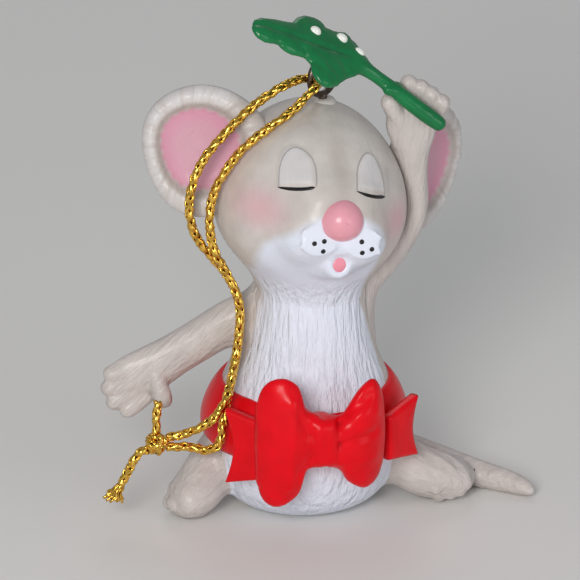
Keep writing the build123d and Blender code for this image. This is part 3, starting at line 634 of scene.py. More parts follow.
# The threads are painted darker near the middle of the bunch, as shade among them
out = np.linalg.norm(points - tip - np.outer((points - tip) @ fall, fall), axis=1)
fringe_mesh = with_painted_shade("cord_fringe", points, faces, np.clip(0.8 - out * 1.1, 0, 0.8))
fringe = place(fringe_mesh, "cord_fringe", "hanging_loop", GOLD, "cord", "cord_fringe")
print("fringe", THREADS, "threads")

# %% [markdown]
# ### The cords and their small pieces
# A simulation needs to know a cord's path, length and thickness, and which small
# pieces go with it. Knot, ends and fringe are listed with the strand behind, and
# nothing more is done with them here.

# %% The cords and their small pieces
small_pieces = [cords["cord_end"][0], cords["cord_stub"][0], knot, fringe]
for cord_name, extra in (("cord_back", small_pieces), ("cord_front", [])):
    thing, line, length = cords[cord_name]

# %% [markdown]
# ## Sculpting by distance
# The real figure was modelled by hand, form run into form. Here each form is a field:
# a number at every point of a grid that says how far the form's surface is, below
# zero inside. Two fields run together by a minimum with a soft fillet, which meshes
# joined by a boolean don't have. The skin is read off where the sum is zero.

STEP = 0.3
FAR, TUBE_ROOM, LUMP_ROOM = 50.0, 3.0, 2.5


def space(low, high):
    """An even grid: its lowest corner and its number of points each way."""
    low, high = np.array(low, float), np.array(high, float)
    return {"low": low, "shape": tuple(np.ceil((high - low) / STEP).astype(int) + 1)}


def window(room, low, high):
    """The part of a grid inside a box: its slices and its points as rows."""
    first = np.clip(np.floor((np.asarray(low) - room["low"]) / STEP).astype(int), 0, None)
    last = np.minimum(np.ceil((np.asarray(high) - room["low"]) / STEP).astype(int) + 1, room["shape"])
    cut = tuple(slice(a, b) for a, b in zip(first, last))
    axes = [room["low"][i] + STEP * np.arange(first[i], last[i]) for i in range(3)]
    grid = np.stack(np.meshgrid(*axes, indexing="ij"), -1).reshape(-1, 3).astype(np.float32)
    return cut, grid


def filled(room, cut, values):
    """A whole field that is far away outside its window."""
    field = np.full(room["shape"], FAR, np.float32)
    field[cut] = values.reshape(field[cut].shape)
    return field


# %% Round forms
LEAST_SLOPE = 1e-5


def oval_distance(offsets, halves):
    """About how far points lie from an oval, from their offsets along its axes."""
    q = np.sqrt(sum((c / h) ** 2 for c, h in zip(offsets, halves)))
    slope = np.sqrt(sum((c / h**2) ** 2 for c, h in zip(offsets, halves)))
    return (q - 1) * q / np.maximum(slope, LEAST_SLOPE)


def lump(room, center, halves, axes):
    """The field of a solid oval with its own three axes."""
    center = np.asarray(center)
    reach = max(halves) + LUMP_ROOM
    cut, grid = window(room, center - reach, center + reach)
    rel = grid - center.astype(np.float32)
    offsets = [rel @ np.asarray(a, np.float32) for a in axes]
    return filled(room, cut, oval_distance(offsets, halves))


def tube(room, points, side, halves, blunt=0.8):
    """The field of an oval tube along a line, with blunt round ends."""
    points = np.asarray(points, np.float32)
    halves = np.asarray(halves, np.float32)
    along, across, up = frames_along(points, side)
    reach = halves.max() + TUBE_ROOM
    cut, grid = window(room, points.min(0) - reach, points.max(0) + reach)
    best = np.full(len(grid), 1e9, np.float32)
    where = np.zeros(len(grid), np.float32)
    for i in range(len(points) - 1):
        run = points[i + 1] - points[i]
        rel = grid - points[i]
        s = np.clip(rel @ run / (run @ run), 0, 1)
        gap = ((rel - s[:, None] * run) ** 2).sum(1)
        nearer = gap < best
        best[nearer] = gap[nearer]
        where[nearer] = (i + s)[nearer]
    i = np.minimum(where.astype(int), len(points) - 2)
    s = (where - i)[:, None]

    def at(values):
        """Values of the line's points, read where each grid point is nearest to it."""
        return values[i] * (1 - s) + values[i + 1] * s

    rel = grid - at(points)
    half = at(halves)
    deep = half.min(1) * blunt
    offsets = [(rel * at(d)).sum(1) for d in (across, up, along)]
    return filled(room, cut, oval_distance(offsets, (half[:, 0], half[:, 1], deep)))


# %% Stacked forms and fillets
STACK_STEPS, PINCH_MOST, LEAST_STEEP = 5, 1.3, 0.02


def stacked(room, cut, along, u, v, table, pinched=False):
    """The field of ovals stacked along one axis: table rows are place, sizes, shifts."""
    t = rows(table, STACK_STEPS)
    half_u = np.interp(along, t[:, 0], t[:, 1])
    half_v = np.interp(along, t[:, 0], t[:, 2])
    u = u - np.interp(along, t[:, 0], t[:, 3])
    v = v - np.interp(along, t[:, 0], t[:, 4])
    if pinched:
        pinch = np.interp(along, t[:, 0], t[:, 5])
        half_u = half_u * (1 - pinch * np.clip(v / half_v, -PINCH_MOST, PINCH_MOST))
    q = np.sqrt((u / half_u) ** 2 + (v / half_v) ** 2)
    field = filled(room, cut, q - 1)
    inner = field[cut]
    steep = np.sqrt(sum(g**2 for g in np.gradient(inner, STEP)))
    if pinched:  # far out beside the small end rows the field would be too low
        steep = steep / np.clip(q, 1, None).reshape(inner.shape)
    beyond = np.maximum(t[0, 0] - along, along - t[-1, 0]).reshape(inner.shape)
    field[cut] = np.maximum(inner / np.maximum(steep, LEAST_STEEP), beyond)
    return field


def blend(a, b, fillet):
    """Two fields run together with a soft fillet."""
    near = np.clip(fillet - np.abs(a - b), 0, None) / fillet
    return np.minimum(a, b) - near**2 * fillet / 4


def carve(a, b, fillet):
    """The second field cut out of the first, with a soft edge."""
    return -blend(-a, b, fillet)


# %% [markdown]
# ### Reading off the skin
# Each cell of the grid that the surface passes through gives one point, the mean of
# the places where its edges are crossed, and each crossed edge gives one four-sided
# face. Such a skin of even squares relaxes well and is fine enough to carry paint.


# %% The skin where a field is zero


def surface(room, field):
    """Points in mm and quads where a field is zero."""
    inside = field < 0
    nx, ny, nz = field.shape
    total = np.zeros((nx - 1, ny - 1, nz - 1), np.int8)
    for i in (0, 1):
        for j in (0, 1):
            for k in (0, 1):
                total += inside[i : nx - 1 + i, j : ny - 1 + j, k : nz - 1 + k]
    cells = np.argwhere((total > 0) & (total < 8))
    number = np.full(total.shape, -1, np.int64)
    number[tuple(cells.T)] = np.arange(len(cells))
    place_sum, hits = np.zeros((len(cells), 3)), np.zeros(len(cells))
    for axis in range(3):
        way = np.eye(3, dtype=int)[axis]
        for a in (0, 1):
            for b in (0, 1):
                shift = np.zeros(3, int)
                shift[(axis + 1) % 3], shift[(axis + 2) % 3] = a, b
                f0 = field[tuple((cells + shift).T)]
                f1 = field[tuple((cells + shift + way).T)]
                crossed = (f0 < 0) != (f1 < 0)
                t = f0[crossed] / (f0[crossed] - f1[crossed])
                place_sum[crossed] += shift + t[:, None] * way
                hits[crossed] += 1
    points = room["low"] + STEP * (cells + place_sum / hits[:, None])
    quads = []
    for axis in range(3):
        b, c = (axis + 1) % 3, (axis + 2) % 3
        low = [slice(None)] * 3
        high = [slice(None)] * 3
        low[axis], high[axis] = slice(0, -1), slice(1, None)
        starts = inside[tuple(low)]
        spots = np.argwhere(starts != inside[tuple(high)])
        limits = np.array(number.shape)
        inner = (spots[:, [b, c]] > 0) & (spots[:, [b, c]] < limits[[b, c]])
        spots = spots[inner.all(1)]
        eb, ec = np.eye(3, dtype=int)[b], np.eye(3, dtype=int)[c]
        corners = [number[tuple((spots - s).T)] for s in (0 * eb, eb, eb + ec, ec)]
        out = starts[tuple(spots.T)]
        quad = np.stack(corners, 1)
        quad[~out] = quad[~out][:, ::-1]
        quads.append(quad)
    return points, np.concatenate(quads)


# %% Smoothing and sampling
HOLLOW_ROUNDS, OVERSHOOT = 3, 1.03


def neighbour_mean(quads, size):
    """A function that gives each point the mean of its neighbours' values."""
    pairs = np.concatenate([quads[:, [0, 1]], quads[:, [1, 2]], quads[:, [2, 3]], quads[:, [3, 0]]])
    pairs = np.concatenate([pairs, pairs[:, ::-1]])
    count = np.maximum(np.bincount(pairs[:, 0], minlength=size), 1)[:, None]

    def mean(values):
        """The mean over each point's neighbours."""
        columns = values.reshape(size, -1).T
        total = [np.bincount(pairs[:, 0], weights=c[pairs[:, 1]], minlength=size) for c in columns]
        return np.stack(total, 1) / count

    return mean


def relaxed(points, quads, rounds, share=0.5):
    """The points drawn toward their neighbours' mean, a few times."""
    mean = neighbour_mean(quads, len(points))
    for step in range(rounds):
        points = points + (share if step % 2 == 0 else -share * OVERSHOOT) * (mean(points) - points)
    return points


def hollows(points, quads, normals, low, high):
    """How far each point lies in a crease, from 0 to 1."""
    mean = neighbour_mean(quads, len(points))
    bend = ((mean(points) - points) * normals).sum(1)
    for _ in range(HOLLOW_ROUNDS):
        bend = mean(bend)[:, 0]
    return soft_step(bend / STEP**2, low, high)


def largest_patch(chosen, quads):
    """The largest connected set among the chosen points."""
    near = {}
    for quad in quads[chosen[quads].any(1)].tolist():
        for a, b in zip(quad, quad[1:] + quad[:1]):
            if chosen[a] and chosen[b]:
                near.setdefault(a, []).append(b)
                near.setdefault(b, []).append(a)
    best, left = [], set(near)
    while left:
        patch = [left.pop()]
        for point in patch:
            for other in near[point]:
                if other in left:
                    left.discard(other)
                    patch.append(other)
        best = max(best, patch, key=len)
    kept = np.zeros(len(chosen), bool)
    kept[best] = True
    return kept


def sampled(room, field, points):
    """A field's value at each point, read between the grid's points."""
    p = (points - room["low"]) / STEP
    i = np.clip(p.astype(int), 0, np.array(room["shape"]) - 2)
    f = p - i
    value = 0
    for a in (0, 1):
        for b in (0, 1):
            for c in (0, 1):
                weight = abs(1 - a - f[:, 0]) * abs(1 - b - f[:, 1]) * abs(1 - c - f[:, 2])
                value = value + weight * field[i[:, 0] + a, i[:, 1] + b, i[:, 2] + c]
    return value


# %% [markdown]
# ### Cutting the skin into pieces
# Every face of the skin goes to one piece. Cut edges are closed by a fan of faces, so
# each piece is a closed solid. The whole skin's own normals are kept on each piece, so
# the light runs over a cut as if it weren't there, which no later smoothing would do.


# %% Masks, strokes and cuts


def vertex_normals(points, quads):
    """The mean direction of the faces round each point."""
    across = np.cross(points[quads[:, 2]] - points[quads[:, 0]], points[quads[:, 3]] - points[quads[:, 1]])
    total = np.zeros_like(points)
    for corner in range(4):
        for i in range(3):
            total[:, i] += np.bincount(quads[:, corner], weights=across[:, i], minlength=len(points))
    return unit(total + 1e-12)


def layered(white, blush, painted_shade, relief):
    """The four paint masks side by side: white, blush, painted shade and carved relief."""
    return np.stack(np.broadcast_arrays(white, blush, painted_shade, relief), -1).astype(np.float32)


def colours(mesh, masks, grain):
    """The paint masks of a mesh's points and the places its strokes are read at."""
    layer = mesh.color_attributes.new("paint", "FLOAT_COLOR", "POINT")
    layer.data.foreach_set("color", np.ravel(masks))
    mesh.attributes.new("grain", "FLOAT_VECTOR", "POINT").data.foreach_set("vector", np.ravel(grain))


def combed(points, way, share=0.12):
    """Places squeezed along a direction, so that noise read there makes strokes."""
    way = unit(way)
    return points - way * ((points * way).sum(-1, keepdims=True) * (1 - share))


def capped(shape):
    """Each open edge of a mesh closed by a fan to a point inside."""
    rim = {e for e in shape.edges if e.is_boundary}
    while rim:
        edges = [rim.pop()]
        for edge in edges:
            for vert in edge.verts:
                for other in vert.link_edges:
                    if other in rim:
                        rim.discard(other)
                        edges.append(other)
        spots = {v for e in edges for v in e.verts}
        center = shape.verts.new(sum((v.co for v in spots), Vector()) / len(spots))
        for edge in edges:
            start = edge.link_loops[0]
            shape.faces.new((start.link_loop_next.vert, start.vert, center))
            edge.smooth = False


def cut_free(name, points, quads, normals, masks, keep, grain):
    """The faces to keep as a closed mesh that shades as the whole skin does."""
    chosen = quads[keep]
    used, chosen = np.unique(chosen, return_inverse=True)
    chosen = chosen.reshape(-1, 4)
    mesh = bpy.data.meshes.new(name)
    mesh.from_pydata((points[used] * MM).tolist(), [], chosen.tolist())
    shape = bmesh.new()
    shape.from_mesh(mesh)
    capped(shape)
    shape.to_mesh(mesh)
    shape.free()
    mesh.shade_smooth()
    added = len(mesh.vertices) - len(used)
    masks, grain, normals = (
        np.vstack([v[used], np.tile(v[used][-1], (added, 1))]) for v in (masks, grain, normals)
    )
    colours(mesh, masks, grain)
    mesh.normals_split_custom_set_from_vertices(normals.tolist())
    return mesh


# %% [markdown]
# ## Body, arms, legs and tail
# The torso is pear-shaped and stands on a small flat. The arms leave it at the
# shoulders, the legs lie splayed in front, and the tail curls out on the mouse's left.
# Each form is a table of oval sections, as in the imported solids, because a table can
# be read against the photograph and one row changed without touching the others.


# %% Section tables
TORSO = [
    (0.000, 0.54, 0.54, 0.000, 0.00),
    (0.036, 0.75, 0.75, 0.004, 0.00),
    (0.105, 0.90, 0.90, 0.010, 0.00),
    (0.210, 0.98, 0.99, 0.016, 0.02),
    (0.290, 1.00, 1.00, 0.018, 0.05),
    (0.380, 0.97, 0.97, 0.018, 0.10),
    (0.510, 0.86, 0.86, 0.020, 0.25),
    (0.630, 0.72, 0.74, 0.022, 0.45),
    (0.750, 0.62, 0.66, 0.024, 0.65),
    (0.870, 0.56, 0.62, 0.020, 0.85),
    (1.030, 0.54, 0.60, 0.014, 1.00),
]
HEIGHT, WIDTH, DEPTH, LEAN = 33.5, 25.4, 24.8, 0.8
torso_table = [(h * HEIGHT, w * WIDTH / 2, d * DEPTH / 2, LEAN * l, -DEPTH * s) for h, w, d, s, l in TORSO]

LOW_ARM = [
    (0.00, 0.00, 0.00, 0.96, 0.96),
    (0.10, 0.10, 0.07, 0.96, 0.96),
    (0.20, 0.22, 0.16, 0.96, 0.96),
    (0.36, 0.48, 0.35, 0.94, 0.90),
    (0.55, 0.76, 0.57, 0.96, 0.82),
    (0.72, 0.94, 0.76, 1.10, 0.76),
    (0.84, 1.00, 0.88, 1.16, 0.64),
    (0.92, 1.00, 0.95, 1.04, 0.50),
]
RAISED_ARM = [
    (0.00, 0.00, 0.000, 0.97, 0.97),
    (0.09, 0.06, 0.105, 0.85, 0.90),
    (0.23, 0.16, 0.197, 0.73, 0.80),
    (0.52, 0.35, 0.287, 0.61, 0.70),
    (0.78, 0.51, 0.380, 0.52, 0.62),
    (0.94, 0.63, 0.471, 0.47, 0.58),
    (1.00, 0.68, 0.565, 0.47, 0.58),
    (0.95, 0.75, 0.705, 0.53, 0.60),
    (0.91, 0.84, 0.800, 0.72, 0.60),
    (0.90, 0.92, 0.874, 0.94, 0.56),
    (0.89, 0.96, 0.945, 1.07, 0.50),
    (0.93, 0.98, 0.995, 0.92, 0.40),
]
RIGHT_LEG = [
    (0.00, 0.00, 0.00, 1.00, 1.00),
    (0.12, 0.08, 0.04, 1.02, 1.02),
    (0.30, 0.26, 0.14, 1.04, 1.04),
    (0.48, 0.50, 0.52, 1.06, 1.04),
    (0.68, 0.76, 0.86, 1.12, 0.96),
    (0.87, 0.94, 1.00, 1.02, 0.78),
    (0.96, 1.00, 1.05, 0.76, 0.54),
    (1.00, 1.02, 1.06, 0.44, 0.30),
]
LEFT_LEG = [
    (0.00, 0.00, 0.00, 0.98, 0.98),
    (0.08, 0.14, 0.05, 0.98, 0.98),
    (0.30, 0.56, 0.38, 0.98, 0.98),
    (0.56, 0.81, 0.76, 1.08, 0.98),
    (0.80, 0.80, 0.92, 1.14, 0.90),
    (0.93, 0.72, 0.98, 1.00, 0.72),
    (1.00, 0.66, 1.02, 0.68, 0.46),
]
TAIL = [
    (0.00, 0.00, 0.00, 1.00, 1.00),
    (0.05, 0.06, 0.09, 1.00, 1.00),
    (0.20, 0.09, 0.37, 0.93, 0.93),
    (0.40, -0.11, 0.62, 0.87, 0.87),
    (0.59, -0.39, 0.76, 0.84, 0.84),
    (0.75, -0.65, 0.84, 0.78, 0.78),
    (0.89, -0.81, 0.91, 0.66, 0.66),
    (0.97, -0.92, 0.97, 0.52, 0.52),
    (1.00, -0.99, 1.00, 0.30, 0.30),
]
# Each finger or toe, root then tip: across the paw, through it, along it
LOW_FINGERS = [
    ((0.25, -0.02, -0.56), (0.42, -0.01, 0.26)),
    ((-0.01, -0.02, -0.39), (0.14, -0.01, 0.55)),
    ((-0.26, -0.07, -0.38), (-0.22, -0.06, 0.61)),
    ((-0.46, -0.13, -0.63), (-0.54, -0.14, 0.33)),
    ((-0.09, -0.33, -1.20), (-0.75, -0.49, -1.03)),
]
RAISED_FINGERS = [
    ((-0.13, 0.21, -0.14), (-0.29, 0.01, 1.00)),
    ((0.09, 0.17, -0.14), (-0.03, -0.05, 0.94)),
    ((0.29, 0.14, -0.25), (0.21, -0.11, 0.80)),
    ((0.44, 0.10, -0.39), (0.48, -0.16, 0.61)),
    ((-0.09, 0.00, -0.78), (-0.68, -0.11, 0.28)),
]
RIGHT_TOES = [
    ((0.29, 0.02, -0.68), (0.35, 0.12, 0.08)),
    ((0.12, 0.05, -0.71), (0.07, 0.15, 0.00)),
    ((0.02, 0.06, -0.91), (-0.13, 0.16, -0.25)),
    ((0.00, 0.08, -1.16), (-0.24, 0.18, -0.63)),
]
# The left foot's toes in mm, each by four places down its ridge
LEFT_TOES = [
    [(13.6, -7.3, 4.9), (14.9, -8.2, 4.0), (15.8, -8.4, 2.6), (16.5, -7.5, 1.1)],
    [(14.9, -7.1, 5.4), (16.3, -7.9, 4.5), (17.2, -8.3, 3.1), (18.0, -7.6, 1.3)],
    [(16.4, -6.6, 5.6), (17.8, -7.4, 4.8), (18.7, -8.0, 3.3), (19.2, -7.9, 1.7)],
    [(17.9, -6.0, 5.4), (19.1, -6.8, 4.6), (19.8, -7.5, 3.6), (20.1, -7.8, 2.5)],
]

# %% [markdown]
# ### The limbs as fields
# A limb is an oval tube along its line. Fingers and toes are short tubes set on the
# frame of its last section, with fillets so tight that the grooves between them stay.
# The left foot is turned more toward the camera, so its toes are placed one by one.

# %% The limbs' fields
DIGIT_REACH, DIGIT_TIP, DIGIT_FILLET = 4.0, 0.42, 0.35
DIGIT_SWELL = (0.92, 0.96, 1.02, 1.04, 1.0)
TOE_HALF, TOE_FILLET = 0.84, 0.3
TAIL_THICK = 4.7
body_room = space((-29, -19, -1.2), (31, 14.5, 63.5))


def limb_line(root, span, table, steps):
    """A limb's line and half sizes, with a number of steps between the table's rows."""
    t = rows(table, steps)
    return np.array(root) + t[:, :3] * np.array(span), t[:, 3:5]


def limb(root, span, table, width, depth, side, digits=(), thick=0.0, thumb=0.0):
    """A limb's field, its digits set on the frame of its last section."""
    points, sizes = limb_line(root, span, table, 4)
    field = tube(body_room, points, side, sizes * (width / 2, depth / 2))
    coarse, _ = limb_line(root, span, table, 2)
    along, across, up = (axis[-1] for axis in frames_along(coarse, side))
    for count, ends in enumerate(digits):
        start, end = (
            coarse[-1] + across * width * a + up * depth * t + along * DIGIT_REACH * f for a, t, f in ends
        )
        size = thumb if thumb and count == len(digits) - 1 else thick
        end = end - unit(end - start) * size * DIGIT_TIP
        line = start + (end - start) * np.linspace(0, 1, len(DIGIT_SWELL))[:, None]
        halves = size / 2 * np.array(DIGIT_SWELL)[:, None] * np.ones(2)
        field = blend(field, tube(body_room, line, (0, 1, 0), halves, blunt=1.0), DIGIT_FILLET)
    return field


cut, grid = window(body_room, (-15, -15, -1.2), (16, 14.5, 36))
torso_field = stacked(body_room, cut, grid[:, 2], grid[:, 0], grid[:, 1], torso_table)
low_arm_field = limb(
    (-6.0, 0.8, 26.6), (-19.6, 2.2, -10.4), LOW_ARM, 6.0, 5.0, (0, 0, 1), LOW_FINGERS, 2.3, 2.4
)
raised_arm_field = limb(
    (6.0, 0.4, 23.6), (8.6, -4.2, 31.0), RAISED_ARM, 6.6, 6.2, (1, 0, 0), RAISED_FINGERS, 2.3, 2.4
)
right_leg_field = limb(
    (-8.6, -0.2, 8.0), (-10.0, -3.4, -5.5), RIGHT_LEG, 6.6, 6.6, (0, 1, 0), RIGHT_TOES, 2.2
)
left_leg_field = limb((8.6, -2.6, 7.0), (12.0, -3.2, -4.4), LEFT_LEG, 6.6, 6.6, (0, 1, 0))
for toe in LEFT_TOES:
    toe_field = tube(body_room, toe, (0, 1, 0), np.full((len(toe), 2), TOE_HALF), blunt=1.0)
    left_leg_field = blend(left_leg_field, toe_field, TOE_FILLET)
tail_points, tail_sizes = limb_line((5.2, 8.6, 6.2), (23.4, 17.6, -5.2), TAIL, 4)
tail_field = tube(body_room, tail_points, (0, 0, 1), tail_sizes * TAIL_THICK / 2)
print("grid", body_room["shape"])

# %% [markdown]
# ### Running them together
# Each limb meets the torso in a fillet of its own width, given in mm beside its field,
# and the sum is cut flat at the floor. Each point of the skin then belongs to the form
# whose own field is lowest there; a few rounds of averaging straighten those borders.

# %% Running them together and reading off the mesh
parts = {
    "torso": (torso_field, 0),
    "lowered_arm": (low_arm_field, 2.2),
    "raised_arm": (raised_arm_field, 2.6),
    "leg_right": (right_leg_field, 1.5),
    "leg_left": (left_leg_field, 1.5),
    "tail": (tail_field, 1.2),
}
whole = torso_field
for field, fillet in list(parts.values())[1:]:
    whole = blend(whole, field, fillet)
heights = body_room["low"][2] + STEP * np.arange(body_room["shape"][2])
whole = np.maximum(whole, -heights[None, None, :].astype(np.float32))
body_points, body_quads = surface(body_room, whole)
body_points = relaxed(body_points, body_quads, 4)
body_points[:, 2] = np.maximum(body_points[:, 2], 0)
owner = np.argmin([sampled(body_room, field, body_points) for field, _ in parts.values()], 0)
belongs = np.eye(len(parts))[owner]
body_mean = neighbour_mean(body_quads, len(body_points))
for _ in range(8):
    belongs = (belongs + body_mean(belongs)) / 2
owner = belongs.argmax(1)
for count in range(1, len(parts)):
    owner[(owner == count) & ~largest_patch(owner == count, body_quads)] = 0
print("body skin", len(body_points), "points", len(body_quads), "quads")
body_normals = vertex_normals(body_points, body_quads)

# %% [markdown]
# ### The body's paint
# White runs down the front from chin to seat, and creases are painted darker as shade.
# Hair is combed away from the torso along each limb, so every piece gives its strokes
# a direction of its own.

# %% The body's paint and pieces
SEAM_SHARE = 3  # a face goes to a limb when this many of its corners do
CREASE = 0.10, 0.42
BODY_SHADE, SHADE_OFF_WHITE, LIMB_WHITE, LIMB_RELIEF = 0.75, 0.6, 0.1, 0.55
BIB_MIDDLE = 0.9
BIB_HEIGHTS, BIB_HALVES = [0, 8, 18, 25, 31], [10.2, 11.2, 10.6, 8.6, 6.6]
x, y, z = body_points.T
front = np.interp(z, BIB_HEIGHTS, BIB_HALVES)
white = soft_step(front - np.abs(x + BIB_MIDDLE), -0.5, 0.9) * soft_step(-y, 1.0, 4.0)
white[owner != 0] *= LIMB_WHITE
# Shade painted into the creases, less of it on the white
painted_shade = BODY_SHADE * hollows(body_points, body_quads, body_normals, *CREASE) * (1 - SHADE_OFF_WHITE * white)
masks = layered(white, 0, painted_shade, np.where(owner == 0, 1.0, LIMB_RELIEF))
LIMB_WAYS = {
    "torso": (0.05, 0.1, 1),
    "lowered_arm": (-0.75, -0.1, -0.66),
    "raised_arm": (0.25, -0.1, 1),
    "leg_right": (-0.8, -0.5, -0.35),
    "leg_left": (0.75, -0.6, -0.2),
    "tail": (0.75, 0.6, -0.1),
}

taken = np.zeros(len(body_quads), bool)
for count, name in reversed(list(enumerate(parts))):
    keep = (owner[body_quads] == count).sum(1) >= SEAM_SHARE if name != "torso" else ~taken
    taken |= keep
    grain = combed(body_points, LIMB_WAYS[name])
    mesh = cut_free(name, body_points, body_quads, body_normals, masks, keep, grain)
    place(mesh, name, "figure", COAT, "coat", name)
    print(name, len(mesh.polygons))

# %% [markdown]
# ## Head
# The head is a broad egg that narrows to the muzzle. Its own frame leans and looks a
# little up. All details of the face are laid out in that frame, across and up as the
# photograph shows them, and cast onto the skin from the front.

# %% The head's own frame and its egg
HEAD_CENTER = np.array((0.8, -1.0, 43.2))
ROLL, PITCH = math.radians(10), math.radians(8)
HEAD_X = np.array((math.cos(ROLL), 0, -math.sin(ROLL)))
HEAD_Z = np.array((math.sin(ROLL) * math.sin(PITCH), -math.cos(PITCH), math.cos(ROLL) * math.sin(PITCH)))
HEAD_Y = np.cross(HEAD_Z, HEAD_X)
HEAD_WIDTH, HEAD_HEIGHT, HEAD_LENGTH = 25.0, 24.2, 26.6
HEAD = [
    (-0.466, 0.02, 0.02, 0.04, 0.00),
    (-0.460, 0.10, 0.10, 0.04, 0.00),
    (-0.440, 0.30, 0.30, 0.04, 0.00),
    (-0.390, 0.56, 0.56, 0.03, 0.03),
    (-0.300, 0.78, 0.78, 0.02, 0.06),
    (-0.180, 0.94, 0.94, 0.01, 0.09),
    (-0.030, 1.00, 1.00, 0.00, 0.12),
    (0.120, 0.97, 0.97, -0.01, 0.13),
    (0.250, 0.87, 0.87, -0.03, 0.13),
    (0.345, 0.71, 0.72, -0.06, 0.12),
    (0.420, 0.58, 0.57, -0.10, 0.10),
    (0.485, 0.45, 0.44, -0.10, 0.05),
    (0.530, 0.32, 0.31, -0.08, 0.02),
    (0.552, 0.16, 0.15, -0.06, 0.00),
    (0.560, 0.03, 0.03, -0.06, 0.00),
]


def in_head(points):
    """Points in the head's own frame: across to its left, up and forward."""
    rel = np.asarray(points, float) - HEAD_CENTER
    return np.stack([rel @ HEAD_X, rel @ HEAD_Y, rel @ HEAD_Z], -1)


def from_head(across, up, forward):
    """A place in the head's own frame as a place in the figure's."""
    return HEAD_CENTER + HEAD_X * across + HEAD_Y * up + HEAD_Z * forward


HEAD_BOX = (-14.5, -18.5, 26.2), (16.5, 13.5, 57.5)
head_room = space(*HEAD_BOX)
cut, grid = window(head_room, *HEAD_BOX)
local = in_head(grid)
head_table = [
    (p * HEAD_LENGTH, w * HEAD_WIDTH / 2, h * HEAD_HEIGHT / 2, 0.0, HEAD_HEIGHT / 2 * r, pinch)
    for p, w, h, r, pinch in HEAD
]
head_field = stacked(head_room, cut, local[:, 2], local[:, 0], local[:, 1], head_table, pinched=True)
print("head grid", head_room["shape"])

# %% [markdown]
# ### Muzzle and neck
# Two puffs, a chin and the lips are lumps laid on the egg, and the mouth is one that
# is carved out. The neck is the torso's own field, a little shrunk so that it hides
# inside the body, run into the head's and cut off below. The soft line under the chin
# is the fillet between them.

# %% The muzzle, the mouth and the neck
HEAD_AXES = (HEAD_X, HEAD_Y, HEAD_Z)
NECK_LOW, NECK_SHRUNK, NECK_FILLET = 27.2, 0.08, 4.6
MOUTH_SPOT = (0.88, -6.75)
MOUTH_FORWARD, MOUTH_HALVES, MOUTH_EDGE = 13.9, (1.2, 1.4, 1.0), 0.4
# Each lump: its middle across, up and forward, its half sizes and its fillet
LUMPS = [
    ((-3.1, -3.7, 11.2), (3.4, 3.1, 3.5), 1.6),
    ((3.7, -3.7, 11.2), (3.4, 3.1, 3.5), 1.6),
    ((0.8, -6.9, 9.6), (2.9, 2.3, 3.4), 1.2),
    ((0.88, -6.75, 12.3), (1.95, 2.05, 1.5), 0.6),
]


def soft_spot(x, y, middle, halves, sharp):
    """A round patch that is 1 in its middle and fades out at its half sizes."""
    far = ((x - middle[0]) / halves[0]) ** 2 + ((y - middle[1]) / halves[1]) ** 2
    return np.exp(-(far**sharp))


for center, halves, fillet in LUMPS:
    head_field = blend(head_field, lump(head_room, from_head(*center), halves, HEAD_AXES), fillet)
mouth_hole = lump(head_room, from_head(*MOUTH_SPOT, MOUTH_FORWARD), MOUTH_HALVES, HEAD_AXES)
head_field = carve(head_field, mouth_hole, MOUTH_EDGE)
neck = stacked(head_room, cut, grid[:, 2], grid[:, 0], grid[:, 1], torso_table)
run_together = blend(head_field, neck, NECK_FILLET)
below = filled(head_room, cut, NECK_LOW - grid[:, 2])
head_field = np.maximum(blend(head_field, neck + NECK_SHRUNK, NECK_FILLET), below)
head_points, head_quads = surface(head_room, head_field)
head_points = relaxed(head_points, head_quads, 4)
# The front is smoothed more, all but the lips
across, up, forward = in_head(head_points).T
lips = soft_spot(across, up, (0.88, -7.0), (2.6, 2.4), 2)
share = (soft_step(forward, 5, 8) * (1 - lips))[:, None]
head_points = head_points * (1 - share) + relaxed(head_points, head_quads, 12) * share
head_normals = vertex_normals(head_points, head_quads)
print("head skin", len(head_points), "points")

# %% [markdown]
# ### Brows, lids and the head's paint
# The closed eyes are tall smooth lids under low brows. Both are a mere lift of the
# skin along its normals, which keeps them soft, as on a cast. The same outlines make
# the masks: white on the muzzle, a blush on each cheek, painted shade beside the nose.

# %% Outlines on the face


def polygon_distance(px, py, corners):
    """Signed distance to a closed outline, below zero inside."""
    corners = np.asarray(corners, float)
    best = np.full(len(px), 1e9)
    inside = np.zeros(len(px), bool)
    for a, b in zip(corners, np.roll(corners, -1, 0)):
        run = b - a
        qx, qy = px - a[0], py - a[1]
        s = np.clip((qx * run[0] + qy * run[1]) / (run @ run), 0, 1)
        best = np.minimum(best, np.hypot(qx - s * run[0], qy - s * run[1]))
        crosses = (a[1] > py) != (b[1] > py)
        inside ^= crosses & (px < (b[0] - a[0]) * (py - a[1]) / (b[1] - a[1] + 1e-9) + a[0])
    return np.where(inside, -best, best)


LID_RIGHT = [
    (-7.6, 2.2), (-7.6, 4.15), (-7.35, 5.4), (-6.7, 6.6), (-5.6, 7.3), (-4.5, 7.0), (-3.7, 6.2),
    (-3.4, 5.0), (-3.55, 3.2),
]
LID_LEFT = [
    (1.75, 3.3), (1.95, 4.9), (2.4, 6.2), (3.2, 7.2), (4.1, 7.4), (5.0, 6.6), (5.7, 5.1), (6.4, 2.4),
]
MUZZLE = [
    (-8.4, -7.5), (-8.3, -5.7), (-7.3, -4.2), (-6.1, -3.0), (-4.6, -1.6), (-3.2, -0.6), (0, 1.0),
    (3.5, -0.4), (5.5, -1.4), (6.7, -3.1), (7.4, -5.3), (7.4, -8.5), (5, -15), (-6.5, -15),
]

